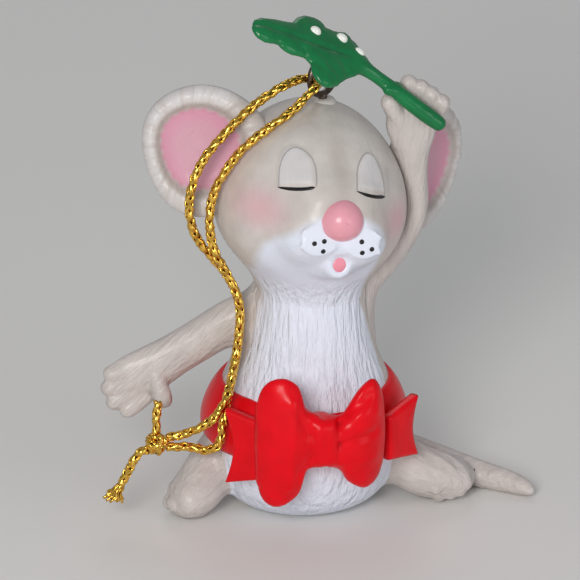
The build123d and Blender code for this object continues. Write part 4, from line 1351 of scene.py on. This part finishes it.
# %% The brows and the lids
BROW_LIFT, LID_LIFT = 0.45, 0.22
NORMAL_REACH, NORMALS_BELOW = 0.4, 37
hx, hy, hz = in_head(head_points).T
ahead = soft_step(hz, 2, 5)
lids = sum(soft_step(-polygon_distance(hx, hy, lid), -0.15, 0.45) for lid in (LID_RIGHT, LID_LEFT)) * ahead
brow_right = soft_spot(hx, hy, (-5.2, 5.9), (4.0, 4.1), 2)
brow_left = soft_spot(hx, hy, (4.3, 5.7), (3.1, 4.0), 2)
brows = (brow_right + brow_left) * ahead
head_points = head_points + head_normals * (BROW_LIFT * brows + LID_LIFT * lids)[:, None]
head_normals = vertex_normals(head_points, head_quads)
# At the neck the light follows the whole figure's skin, head and body in one
ways = [
    sampled(head_room, run_together, head_points + s) - sampled(head_room, run_together, head_points - s)
    for s in np.eye(3) * NORMAL_REACH
]
low = soft_step(NORMALS_BELOW - head_points[:, 2:], 0, 2)
head_normals = unit(head_normals * (1 - low) + unit(np.stack(ways, 1) + 1e-9) * low)

# %% The head's paint
CHEEKS, CHEEK_SIZE, CHEEK_STRENGTH = ((-9.4, -1.0), (9.3, -1.3)), (2.6, 2.6), 0.63
FACE_RELIEF, NECK_RELIEF, GRAIN_BELOW = 0.12, 0.88, 39
height = head_points[:, 2]
muzzle = soft_step(-polygon_distance(hx, hy, MUZZLE), -0.9, 1.0) * ahead
chest = soft_step(7.6 - np.abs(head_points[:, 0] + BIB_MIDDLE), -0.5, 0.9)
chest = chest * soft_step(-head_points[:, 1], 1.0, 4.0) * soft_step(36.5 - height, 0, 2)
muzzle = np.maximum(muzzle, chest)
white = np.maximum(muzzle, 0.3 * lids)
blush = sum(soft_spot(hx, hy, cheek, CHEEK_SIZE, 1.2) for cheek in CHEEKS)
blush = CHEEK_STRENGTH * blush * ahead * (1 - muzzle)
# Painted shade beside the nose, down the bridge between the eyes and in the head's creases
beside_nose = soft_spot(hx, hy, (0.2, 0.4), (6.0, 2.2), 1.5)
bridge = soft_spot(hx, hy, (-0.2, 6.4), (1.3, 4.5), 1.5)
painted_shade = 0.8 * hollows(head_points, head_quads, head_normals, *CREASE) * (1 - 0.7 * muzzle) * (height > 36)
painted_shade = np.maximum(painted_shade, 0.22 * (beside_nose + bridge) * ahead * (1 - muzzle))
relief = FACE_RELIEF + NECK_RELIEF * soft_step(35 - height, 0, 4) * (hz < 9)
head_masks = layered(white, blush, painted_shade, relief)
low = soft_step(GRAIN_BELOW - head_points[:, 2:], 0, 2)
hair_way = (HEAD_Y * 0.9 - HEAD_Z * 0.45) * (1 - low) + np.array(LIMB_WAYS["torso"]) * low
head_grain = combed(head_points, hair_way)
head_keep = np.ones(len(head_quads), bool)
head_mesh = cut_free("head", head_points, head_quads, head_normals, head_masks, head_keep, head_grain)
place(head_mesh, "head", "figure", FACE, "coat", "head")
head_tree = BVHTree.FromPolygons(head_points.tolist(), head_quads.tolist())
print("head", len(head_quads))


def on_head(across, up):
    """Where the line through a place of the head's face meets the skin from the front."""
    start = from_head(across, up, 30)
    spot, normal, _, _ = head_tree.ray_cast(Vector(start), Vector(-HEAD_Z))
    return np.array(spot), np.array(normal)


# %% [markdown]
# ## Ears
# Each ear is a thick oval dish with a rolled rim and a pink hollow. Both have the same
# profile, from the back over the rim into the hollow, which is carried round an oval
# like clay on a wheel. Only the place, the turn and the hollow's shift differ.


# %% The ears
EAR_WIDTH, EAR_HEIGHT, EAR_PINCH = 16.4, 17.4, 0.13
EAR_POINTS, TUFTS = 144, (13, 22, 29, 37, 47)
# Each row: share of the outline, place through the thickness
EAR_PROFILE = [
    (0.02, -1.30),
    (0.40, -1.38),
    (0.72, -1.36),
    (0.90, -1.12),
    (0.985, -0.55),
    (1.00, 0.05),
    (0.985, 0.62),
    (0.93, 1.10),
    (0.85, 1.36),
    (0.76, 1.34),
    (0.68, 1.05),
    (0.61, 0.62),
    (0.52, 0.34),
    (0.34, 0.16),
    (0.02, 0.10),
]


def ear_frame(out, rise, back, splay):
    """The middle and axes of an ear: across it, up it and out of its hollow."""
    turn = math.radians(splay)
    x_axis = HEAD_X * math.cos(turn) - HEAD_Z * math.sin(turn)
    z_axis = HEAD_X * math.sin(turn) + HEAD_Z * math.cos(turn)
    return from_head(out, rise, -back), x_axis, HEAD_Y, z_axis


for ear_name, out, rise, back, splay, aside in (
    ("ear_right", -14.6, 3.9, 1.6, -20, -1.7),
    ("ear_left", 15.9, 3.7, 3.6, 42, 0.8),
):
    middle, ex, ey, ez = ear_frame(out, rise, back, splay)
    profile = rows(EAR_PROFILE, 4)
    t = np.linspace(0, 2 * np.pi, EAR_POINTS, endpoint=False)
    rings, masks, grain = [], [], []
    for share, through in profile:
        tufts = sum(np.sin(t * n + 7 * n + share * 3) for n in TUFTS) / len(TUFTS)
        strokes = 0.20 * tufts * soft_step(share, 0.6, 0.8) * soft_step(through, 0.2, 0.9)
        wave = 1 + 0.012 * np.sin(3 * t + 0.6) + 0.008 * np.sin(5 * t)
        inward = (1 - share) * (through > -1)
        across = np.cos(t) * share * wave * EAR_WIDTH / 2 * (1 + EAR_PINCH * np.sin(t)) + aside * inward
        high = np.sin(t) * share * wave * EAR_HEIGHT / 2 + 0.7 * inward
        rings.append(
            middle + np.outer(across, ex) + np.outer(high, ey) + np.outer(through + strokes - 0.05, ez)
        )
        facing = soft_step(through, -0.4, 0.3)
        pink = (1 - soft_step(share + 0.015 * np.sin(t * 23), 0.57, 0.66)) * facing
        rim = np.full_like(t, soft_step(share, 0.62, 0.78) * facing * 0.55)
        # A line of painted shade where the rim turns down into the hollow
        painted_shade = np.full_like(t, 0.35 * facing * math.exp(-(((share - 0.68) / 0.05) ** 2)))
        masks.append(layered(rim, pink, painted_shade, 0.35 - 0.27 * pink))
        wide = 8 * min(1, share / 0.66)
        strokes_at = (np.cos(t) * wide, np.sin(t) * wide, np.full_like(t, share + through * 0.3))
        grain.append(np.stack(strokes_at, 1))
    points, faces = band(rings)
    masks += [masks[0][:1], masks[-1][:1]]
    grain += [grain[0][:1], grain[-1][:1]]
    mesh = mesh_of(ear_name, points, faces)
    colours(mesh, np.concatenate(masks), np.concatenate(grain))
    place(mesh, ear_name, "figure", EAR, "coat", ear_name)
    print(ear_name, len(faces), "faces")

# %% [markdown]
# ## Nose, mouth, eyes and whisker dots
# The nose is a pink egg, a stack of rings that narrows toward its tip. Lash lines, lid
# lines and dots are drawn by brush on the real face. Painted into the masks they would
# be as coarse as the skin's own points, so each is a thin raised line or dome that is
# cast onto the skin, with a crisp edge at any size.

# %% The nose
NOSE_AHEAD, NOSE_ACROSS, NOSE_POINTS, NOSE_RINGS = 3.15, 3.05, 48, 22
nose_middle = from_head(0.1, -0.7, 13.4)
t = np.linspace(0, 2 * np.pi, NOSE_POINTS, endpoint=False)
rings = []
for lift in np.linspace(-0.42, 1, NOSE_RINGS):
    angle = lift * np.pi / 2
    level, size = NOSE_AHEAD * math.sin(angle), NOSE_ACROSS * math.cos(angle)
    across = np.cos(t) * size * (1 - 0.10 * np.sin(t))
    rings.append(
        nose_middle
        + np.outer(across, HEAD_X)
        + np.outer(np.sin(t) * size * 0.96, HEAD_Y)
        + np.outer(np.full_like(t, level), HEAD_Z)
    )
place(mesh_of("nose", *band(rings)), "nose", "figure", NOSE, "nose_paint", "nose")
print("nose", round(2 * NOSE_ACROSS, 1), "mm wide")

# %% Painted marks


def mark(name, points, widths, material, height=0.09, sides=8):
    """A low painted line laid on the face through points given across and up."""
    spots = [on_head(a, u) for a, u in points]
    line = np.array([s for s, _ in spots])
    up = unit(np.array([n for _, n in spots]))
    along = unit(np.gradient(line, axis=0))
    side = unit(np.cross(along, up))
    angles = np.arange(sides) * 2 * np.pi / sides
    rings = [
        p + w * np.outer(np.cos(angles), s) + height * np.outer(np.sin(angles), n)
        for p, s, n, w in zip(line, side, up, widths)
    ]
    made = mesh_of(name, *band(rings))
    return place(made, name, "figure", material, "coat")


s = np.linspace(0, 1, 24)
for name, route, thin in (
    ("lash_right", ((-7.66, 2.14), (-5.7, 2.46), (-3.72, 3.12)), 0.5),
    ("lash_left", ((1.65, 3.2), (3.82, 2.58), (6.5, 2.13)), 0.3),
):
    a, b, c = (np.array(p) for p in route)
    line = [a * (1 - f) * (1 - 2 * f) + 4 * b * f * (1 - f) + c * f * (2 * f - 1) for f in s]
    ends = np.clip(np.sin(np.pi * (0.04 + 0.92 * s)) * 2.6, 0.1, 1)
    mark(name, line, 0.24 * ends * (thin + (1 - thin) * np.clip(s * 3, 0, 1)), INK)
for name, lid in (("lid_line_right", LID_RIGHT), ("lid_line_left", LID_LEFT)):
    line = rows(lid, 5)
    mark(name, line, np.full(len(line), 0.10), LINE, height=0.05)
    print(name, len(line), "places")

# %% Dots and mouth
DOT_RADIUS, DOT_POINTS = 0.33, 20
# The dome's rings: share of the radius, share of the height
DOME = ((0.98, -0.6), (1.0, 0.0), (0.9, 0.5), (0.6, 0.85), (0.1, 1.0))
DOTS = {
    "right": ((-3.39, -3.86), (-2.11, -3.48), (-2.02, -4.84)),
    "left": ((2.92, -3.19), (4.42, -4.07), (3.22, -4.65)),
}


def dot(name, across, up, radius, material, height=0.12):
    """A painted dot, a low dome on the face."""
    middle, normal = on_head(across, up)
    x_axis = unit(np.cross(normal, (0.1, 0.2, 1)))
    y_axis = np.cross(normal, x_axis)
    rings = [
        oval(middle + h * height * normal, f * radius * x_axis, f * radius * y_axis, DOT_POINTS)
        for f, h in DOME
    ]
    return place(mesh_of(name, *band(rings)), name, "figure", material, "coat")


for side, places in DOTS.items():
    for count, (across, up) in enumerate(places, 1):
        dot(f"whisker_dot_{side}_{count}", across, up, DOT_RADIUS, INK)
dot("mouth", *MOUTH_SPOT, 1.15, MOUTH, height=0.45)
print("whisker dots", sum(len(places) for places in DOTS.values()))

# %% [markdown]
# ## Sash and bow
# A painted ribbon: a band round the hips, two full loops that swell from a pinched
# knot, and two notched tails that lie on the sash. The band is a skin over rings that
# follow the torso's own outline, grown outward, so it fits wherever the body swells.

# %% The sash
SASH_LOW, SASH_HIGH, SASH_DIP = 9.6, 17.2, 1.1
SASH_SWELL, SASH_INSIDE = 1.25, -0.35
t = np.linspace(0, 2 * np.pi, 120, endpoint=False)
torso_rows = rows(torso_table, 6)


def torso_ring(z, growth):
    """The torso's outline at a height, grown outward and dipped a little in front."""
    columns = (np.interp(z, torso_rows[:, 0], torso_rows[:, i]) for i in range(1, 5))
    half_x, half_y, shift_x, shift_y = columns
    dip = soft_step(z, 12, 17) * SASH_DIP * soft_step(-np.sin(t), 0.55, 0.95)
    x, y = shift_x + (half_x + growth) * np.cos(t), shift_y + (half_y + growth) * np.sin(t)
    return np.stack([x, y, z - dip], 1)


profile = []
for f in np.linspace(0, 1, 15):
    swell = SASH_SWELL * min(1, (math.sin(np.pi * np.clip(f, 0.02, 0.98))) ** 0.35)
    profile.append((SASH_LOW + (SASH_HIGH - SASH_LOW) * f, swell))
rings = [torso_ring(z, g) for z, g in profile]
rings += [torso_ring(z, SASH_INSIDE) for z, _ in profile[::-1]]
place(mesh_of("sash", *band(rings, closed=True)), "sash", "figure", RIBBON, "ribbon", "sash")
print("sash", len(rings), "rings")

# %% [markdown]
# ### The bow
# The loops and the knot are fields again, because on the real bow they run into each
# other without a line. Folds are shallow grooves and ridges along short lines, added
# to the field before the skin is read off, so that each stays soft at its ends.

# %% The bow
BOW = np.array((-1.7, -13.2, 14.6))
KNOT_HALF, KNOT_ROUND = np.array((1.6, 2.5, 3.1)), 1.1
LOOP_REACH, LOOP_OUT, LOOP_RAKE, LOOP_DEPTH = 7.2, 3.0, 1.6, 4.2
# Each row: how far out, above and below the middle, thickness, how far raked back
RIGHT_LOOP = [
    (0.00, 0.42, 0.38, 0.86, 0.00),
    (0.10, 0.56, 0.48, 0.90, 0.02),
    (0.22, 0.88, 0.81, 0.95, 0.06),
    (0.40, 1.01, 0.96, 1.00, 0.14),
    (0.57, 1.03, 1.03, 1.00, 0.30),
    (0.75, 0.97, 1.01, 0.86, 0.56),
    (0.89, 0.80, 0.86, 0.60, 0.82),
    (0.965, 0.48, 0.52, 0.36, 0.95),
    (0.995, 0.27, 0.29, 0.18, 1.00),
    (1.005, 0.04, 0.04, 0.04, 1.00),
]
LEFT_LOOP = [
    (0.00, 0.38, 0.50, 0.86, 0.00),
    (0.10, 0.42, 0.62, 0.90, 0.02),
    (0.22, 0.52, 0.82, 0.95, 0.06),
    (0.40, 0.79, 0.96, 1.00, 0.14),
    (0.57, 0.96, 1.03, 1.00, 0.30),
    (0.75, 1.03, 0.97, 0.86, 0.56),
    (0.89, 0.86, 0.80, 0.60, 0.82),
    (0.965, 0.52, 0.49, 0.36, 0.95),
    (0.995, 0.29, 0.27, 0.18, 1.00),
    (1.005, 0.04, 0.04, 0.04, 1.00),
]
bow_low, bow_high = BOW - (11.0, 7.5, 11.0), BOW + (11.0, 2.0, 11.0)
bow_room = space(bow_low, bow_high)
cut, grid = window(bow_room, bow_low, bow_high)
bx, by, bz = (grid - BOW.astype(np.float32)).T
bow_fields = {}
BOW_FILLET, ROOT_IN = 1.6, 0.6
FINE_CREASE, BOW_SHADE = (0.08, 0.4), 0.8
BOW_LOOPS = ((-1, "bow_loop_right", 17.4, RIGHT_LOOP), (1, "bow_loop_left", 14.6, LEFT_LOOP))
for side, loop_name, tall, table in BOW_LOOPS:
    loop_rows = [
        (
            KNOT_HALF[0] - ROOT_IN * (out == 0) + LOOP_REACH * out,
            tall / 4 * (above + below),
            LOOP_DEPTH / 2 * thick,
            tall / 4 * (above - below),
            LOOP_RAKE * rake - LOOP_OUT,
        )
        for out, above, below, thick, rake in table
    ]
    bow_fields[loop_name] = stacked(bow_room, cut, side * bx, bz, by, loop_rows)
box = np.abs(np.stack([bx, by + KNOT_HALF[1], bz], 1)) - (KNOT_HALF - KNOT_ROUND)
rounded = np.linalg.norm(np.maximum(box, 0), axis=1) + np.minimum(box.max(1), 0) - KNOT_ROUND
bow_fields["bow_knot"] = filled(bow_room, cut, rounded.astype(np.float32))
bow_field = bow_fields["bow_knot"]
for loop_name in ("bow_loop_right", "bow_loop_left"):
    bow_field = blend(bow_field, bow_fields[loop_name], BOW_FILLET)

# %% The folds and the bow's pieces
# Each fold: two ends across and up, its width and depth; below zero it stands out
FOLDS = [
    ((-4.9, -5.6), (-4.4, 6.0), 0.9, -0.40),
    ((-1.85, -2.6), (-1.85, 2.4), 0.5, 0.16),
    ((1.75, -2.4), (1.75, 2.2), 0.5, 0.2),
    ((-2.2, 1.4), (-3.6, 4.4), 0.6, 0.28),
    ((-2.2, -1.6), (-3.6, -4.0), 0.6, 0.22),
    ((2.0, 2.4), (6.2, 5.8), 0.55, 0.42),
    ((2.0, -0.2), (6.8, 0.9), 0.5, 0.36),
    ((2.4, 3.4), (6.9, 3.6), 0.9, -0.22),
    ((2.2, -2.4), (6.4, -2.6), 1.0, -0.22),
]
folds = 0
for start, end, width, depth in FOLDS:
    run = np.subtract(end, start)
    f = np.clip(((bx - start[0]) * run[0] + (bz - start[1]) * run[1]) / (run @ run), 0, 1)
    away = np.hypot(bx - start[0] - f * run[0], bz - start[1] - f * run[1])
    folds = folds + depth * np.exp(-((away / width) ** 2))
folds = folds * soft_step(-by, 2.4, 3.6)
bow_field = bow_field + filled(bow_room, cut, folds.astype(np.float32))
bow_points, bow_quads = surface(bow_room, bow_field)
bow_points = relaxed(bow_points, bow_quads, 4)
bow_normals = vertex_normals(bow_points, bow_quads)
bow_owner = np.argmin([sampled(bow_room, field, bow_points) for field in bow_fields.values()], 0)
# Shade painted into the bow's creases and folds
bow_shade = hollows(bow_points, bow_quads, bow_normals, *FINE_CREASE) * BOW_SHADE
bow_masks = layered(0, 0, bow_shade, 0)
taken = np.zeros(len(bow_quads), bool)
for count, name in enumerate(bow_fields):
    keep = ~taken if name == "bow_knot" else (bow_owner[bow_quads] == count).sum(1) >= SEAM_SHARE
    taken |= keep
    mesh = cut_free(name, bow_points, bow_quads, bow_normals, bow_masks, keep, bow_points)
    place(mesh, name, "figure", RIBBON, "ribbon", name)
    print(name, len(mesh.polygons))

# %% [markdown]
# ### The bow's tails
# Each tail is a flat strip of ribbon with a notched end that leans on the sash. A
# plate of even thickness from one outline is enough, its edge drawn in over a few
# rings so that it catches the light like paint and not like cut metal.

# %% The tails
TAIL_TURN, TAIL_OUT, TAIL_LENGTH, TAIL_INSIDE, TAIL_NOTCH = math.radians(37.5), 14.2, 4.6, -1.6, 1.1
ROOT_SHARE, TAIL_PLATE, TAIL_EDGE = 0.72, 1.3, 0.4
# The plate's rings: how far inward as shares of its edge, and place through its thickness
PLATE = ((1.6, 0), (0.3, 0.0), (0, 0.25), (0, 0.75), (0.3, 1.0), (1.6, 1.06))


def rounded_plate(outline, frame_of, thick, edge):
    """A flat plate with a softened edge from a closed outline, in its own plane."""
    outline = np.asarray(outline, float)
    middle = outline.mean(0)
    far = np.linalg.norm(outline - middle, axis=1)
    rings = []
    for inward, level in PLATE:
        ring = middle + (outline - middle) * (1 - edge * inward / far)[:, None]
        rings.append(frame_of(ring, level * thick))
    return band(rings)


for side, tail_name, tall, level in ((-1, "bow_tail_right", 10.4, 12.2), (1, "bow_tail_left", 8.4, 12.4)):
    outward = np.array((side * math.sin(TAIL_TURN), -math.cos(TAIL_TURN), 0))
    along = np.array((side * math.cos(TAIL_TURN), math.sin(TAIL_TURN), 0))
    origin = outward * TAIL_OUT + np.array((0, 0, level))
    root = tall / 2 * ROOT_SHARE
    corner = [(TAIL_LENGTH, -tall / 2), (TAIL_INSIDE, -root), (TAIL_INSIDE, root), (TAIL_LENGTH, tall / 2)]
    outline = []
    for a, b in zip(corner, corner[1:]):
        outline += [np.array(a) + (np.array(b) - np.array(a)) * f for f in np.arange(16) / 16]
    for f in np.arange(20) / 20:
        outline.append(np.array((TAIL_LENGTH - TAIL_NOTCH * math.sin(np.pi * f), tall / 2 - tall * f)))

    def tail_frame(ring, lift):
        """Points of the strip's own plane, lifted off it."""
        return origin + np.outer(ring[:, 0], along) + np.outer(ring[:, 1], (0, 0, 1)) + lift * outward

    points, faces = rounded_plate(outline, tail_frame, TAIL_PLATE, TAIL_EDGE)
    place(mesh_of(tail_name, points, faces), tail_name, "figure", RIBBON, "ribbon", tail_name)
    print(tail_name, len(faces), "faces")

# %% [markdown]
# ## Sprig and berries
# One flat moulding: a lobed leaf with a groove down its middle and side veins, drawn
# out into a stem that the raised paw holds. The leaf is a slab whose field comes from
# the distance to its outline, so its edge is rounded all the way, and the stem is a
# tube run into it.

# %% The sprig
SPRIG = np.array((5.8, -4.5, 61.8))
SLOPE, TILT = math.radians(33), math.radians(56)
SX = np.array((math.cos(SLOPE), 0, -math.sin(SLOPE)))
SZ = np.array((math.sin(TILT) * math.sin(SLOPE), -math.cos(TILT), math.sin(TILT) * math.cos(SLOPE)))
SY = np.cross(SZ, SX)
LEAF_THICK = 1.7
# The leaf's outline and the stem's line in the sprig's own plane, in mm
LEAF_OUTLINE = [
    (-16.2, -3.0), (-16.0, -2.0), (-15.1, -1.1), (-13.2, -0.2), (-11.5, 0.4), (-10.3, 0.9), (-9.6, 2.2),
    (-8.6, 3.1), (-7.2, 3.6), (-6.2, 3.6), (-5.1, 3.1), (-4.1, 3.1), (-2.4, 3.9), (-1.3, 3.6), (-0.3, 3.0),
    (0.6, 2.3), (1.7, 1.3), (1.3, -0.5), (0.3, -2.3), (-0.5, -3.0), (-1.4, -4.0), (-2.2, -5.3),
    (-3.1, -6.2), (-4.1, -6.7), (-5.1, -6.6), (-5.9, -6.1), (-6.5, -5.2), (-6.8, -4.1), (-7.6, -3.7),
    (-8.5, -3.9), (-9.6, -4.3), (-10.7, -4.3), (-11.5, -4.1), (-11.8, -3.8), (-12.8, -4.2),
    (-13.8, -4.6), (-15.1, -4.5), (-15.9, -3.9),
]
STEM = [
    (-0.8, 0.1, 0.90),
    (1.6, -0.2, 0.95),
    (3.5, -0.5, 0.86),
    (5.6, -0.95, 0.92),
    (7.7, -1.45, 1.05),
    (10.0, -2.0, 1.10),
    (12.3, -2.45, 1.10),
    (13.5, -2.7, 1.0),
]
STEM_NUBS = [((6.7, -0.2), (0.8, 0.5, 0.7)), ((5.4, -1.85), (0.7, 0.45, 0.7))]

# %% The sprig's field
LEAF_EDGE, STEM_FILLET, NUB_FILLET, LEAF_SHADE = 0.6, 1.2, 0.4, 0.7
SPRIG_BOX = (-12, -13, 50), (20, 5, 72)
sprig_room = space(*SPRIG_BOX)
cut, grid = window(sprig_room, *SPRIG_BOX)
rel = grid - SPRIG
sx, sy, sz = rel @ SX, rel @ SY, rel @ SZ
flat = polygon_distance(sx, sy, LEAF_OUTLINE)
thick = LEAF_THICK / 2 * (0.55 + 0.5 * soft_step(-flat, 0, 1.9))
vein = sy - 0.2 - 0.18 * (sx - 0.5)
groove = 0.35 * np.exp(-((vein / 0.4) ** 2)) * soft_step(0.5 - sx, 0, 2) * (sz > 0)
for reach, lean in ((-11.0, 1.6), (-7.6, 1.2), (-4.0, 0.9)):
    side_vein = (sx - reach) - np.abs(vein) * lean
    veined = 0.16 * np.exp(-((side_vein / 0.5) ** 2)) * (sz > 0)
    groove = groove + veined * soft_step(np.abs(vein), 0.3, 1.2)
slab = np.abs(sz) - thick + groove
rounded = np.hypot(flat + LEAF_EDGE, slab + LEAF_EDGE) - LEAF_EDGE
at_edge = (flat + LEAF_EDGE > 0) & (slab + LEAF_EDGE > 0)
leaf = np.where(at_edge, rounded, np.maximum(flat, slab))
leaf_field = filled(sprig_room, cut, leaf.astype(np.float32))
stem = rows(STEM, 4)
stem_line = SPRIG + np.outer(stem[:, 0], SX) + np.outer(stem[:, 1], SY)
stem_field = tube(sprig_room, stem_line, SY, stem[:, 2:3] * np.ones(2), blunt=1.0)
sprig_field = blend(leaf_field, stem_field, STEM_FILLET)
for (a, b), halves in STEM_NUBS:
    nub = lump(sprig_room, SPRIG + SX * a + SY * b, halves, (SX, SY, SZ))
    sprig_field = blend(sprig_field, nub, NUB_FILLET)
points, quads = surface(sprig_room, sprig_field)
points = relaxed(points, quads, 2)
normals = vertex_normals(points, quads)
# Shade painted into the leaf's grooves and creases
painted_shade = hollows(points, quads, normals, *FINE_CREASE) * LEAF_SHADE
masks = layered(0, 0, painted_shade, 0)
mesh = cut_free("sprig", points, quads, normals, masks, np.ones(len(quads), bool), points)
place(mesh, "sprig", "figure", LEAF, "leaf", "sprig")
print("sprig", len(quads))

# %% [markdown]
# ### The berries
# Three white drops of moulding sit in a row on the leaf. Each is a low dome of rings,
# a little longer than wide, sunk just under the leaf's face so that no gap shows.

# %% The berries
BERRY_HALF, BERRY_RISE, BERRY_LONG, BERRY_POINTS, BERRY_SUNK = 0.66, 0.62, 1.25, 24, 0.15
for count, (along, across) in enumerate(((-7.0, 0.85), (-2.9, 2.0), (-0.1, 1.15)), 1):
    base = SPRIG + SX * along + SY * across + SZ * (LEAF_THICK / 2 - BERRY_SUNK)
    rings = []
    for lift in np.linspace(-0.3, 0.98, 11):
        size = BERRY_HALF * math.cos(lift * np.pi / 2)
        level = BERRY_RISE * math.sin(lift * np.pi / 2)
        rings.append(oval(base + level * SZ, size * BERRY_LONG * SX, size * SY, BERRY_POINTS))
    name = f"berry_{count}"
    place(mesh_of(name, *band(rings)), name, "figure", BERRY, "berry", name)
print("berries", count)

# %% [markdown]
# ## Screw eye and its pad
# A dark wire eye is screwed through a pale dab of filler on the crown. The eye is a
# ring of wire with a shank under it, and the pad is a low round stack of rings, made
# slightly uneven because it was dabbed on by hand.

# %% The screw eye
CROWN, EYE_MIDDLE = np.array((2.8, 0.6, 54.1)), np.array((2.8, 0.6, 58.33))
EYE_TURN, EYE_RADIUS, WIRE_HALF = math.radians(32.6), 2.4, 0.45
EYE_STEPS, WIRE_SIDES, PAD_POINTS = 64, 14, 40
SHANK = ((-4.0, 0.1), (-3.4, 0.45), (0.9, 0.5), (1.6, 0.62), (2.0, 0.55))
PAD_ROWS = ((0.1, -0.6), (1.7, -0.6), (1.8, 0.2), (1.76, 0.8), (1.5, 1.15), (0.9, 1.27), (0.55, 1.28))
X_AXIS, Y_AXIS, Z_AXIS = np.eye(3)
eye_across = X_AXIS * math.cos(EYE_TURN) + Y_AXIS * math.sin(EYE_TURN)
eye_axis = X_AXIS * math.sin(EYE_TURN) - Y_AXIS * math.cos(EYE_TURN)
rings = []
for angle in np.linspace(0, 2 * np.pi, EYE_STEPS, endpoint=False):
    out = eye_across * math.cos(angle) + Z_AXIS * math.sin(angle)
    rings.append(oval(EYE_MIDDLE + EYE_RADIUS * out, WIRE_HALF * out, WIRE_HALF * eye_axis, WIRE_SIDES))
shank = [oval(CROWN + Z_AXIS * h, X_AXIS * r, Y_AXIS * r, WIRE_SIDES) for h, r in SHANK]
eye_mesh = mesh_of("screw_eye", *joined(band(rings, closed=True), band(shank)))
place(eye_mesh, "screw_eye", "figure", IRON, "eye_metal", "screw_eye")
print("screw eye", len(eye_mesh.polygons), "faces")

# %% The pad
t = np.linspace(0, 2 * np.pi, PAD_POINTS, endpoint=False)
rings = []
for r, h in PAD_ROWS:
    wave = 1 + 0.03 * np.sin(3 * t) * (h > 0)
    rings.append(CROWN + np.stack([r * wave * np.cos(t), r * wave * np.sin(t), np.full_like(t, h)], 1))
place(mesh_of("eye_pad", *band(rings)), "eye_pad", "figure", PAD, "coat", "eye_pad")
print("pad", round(2 * PAD_ROWS[2][0], 1), "mm wide")
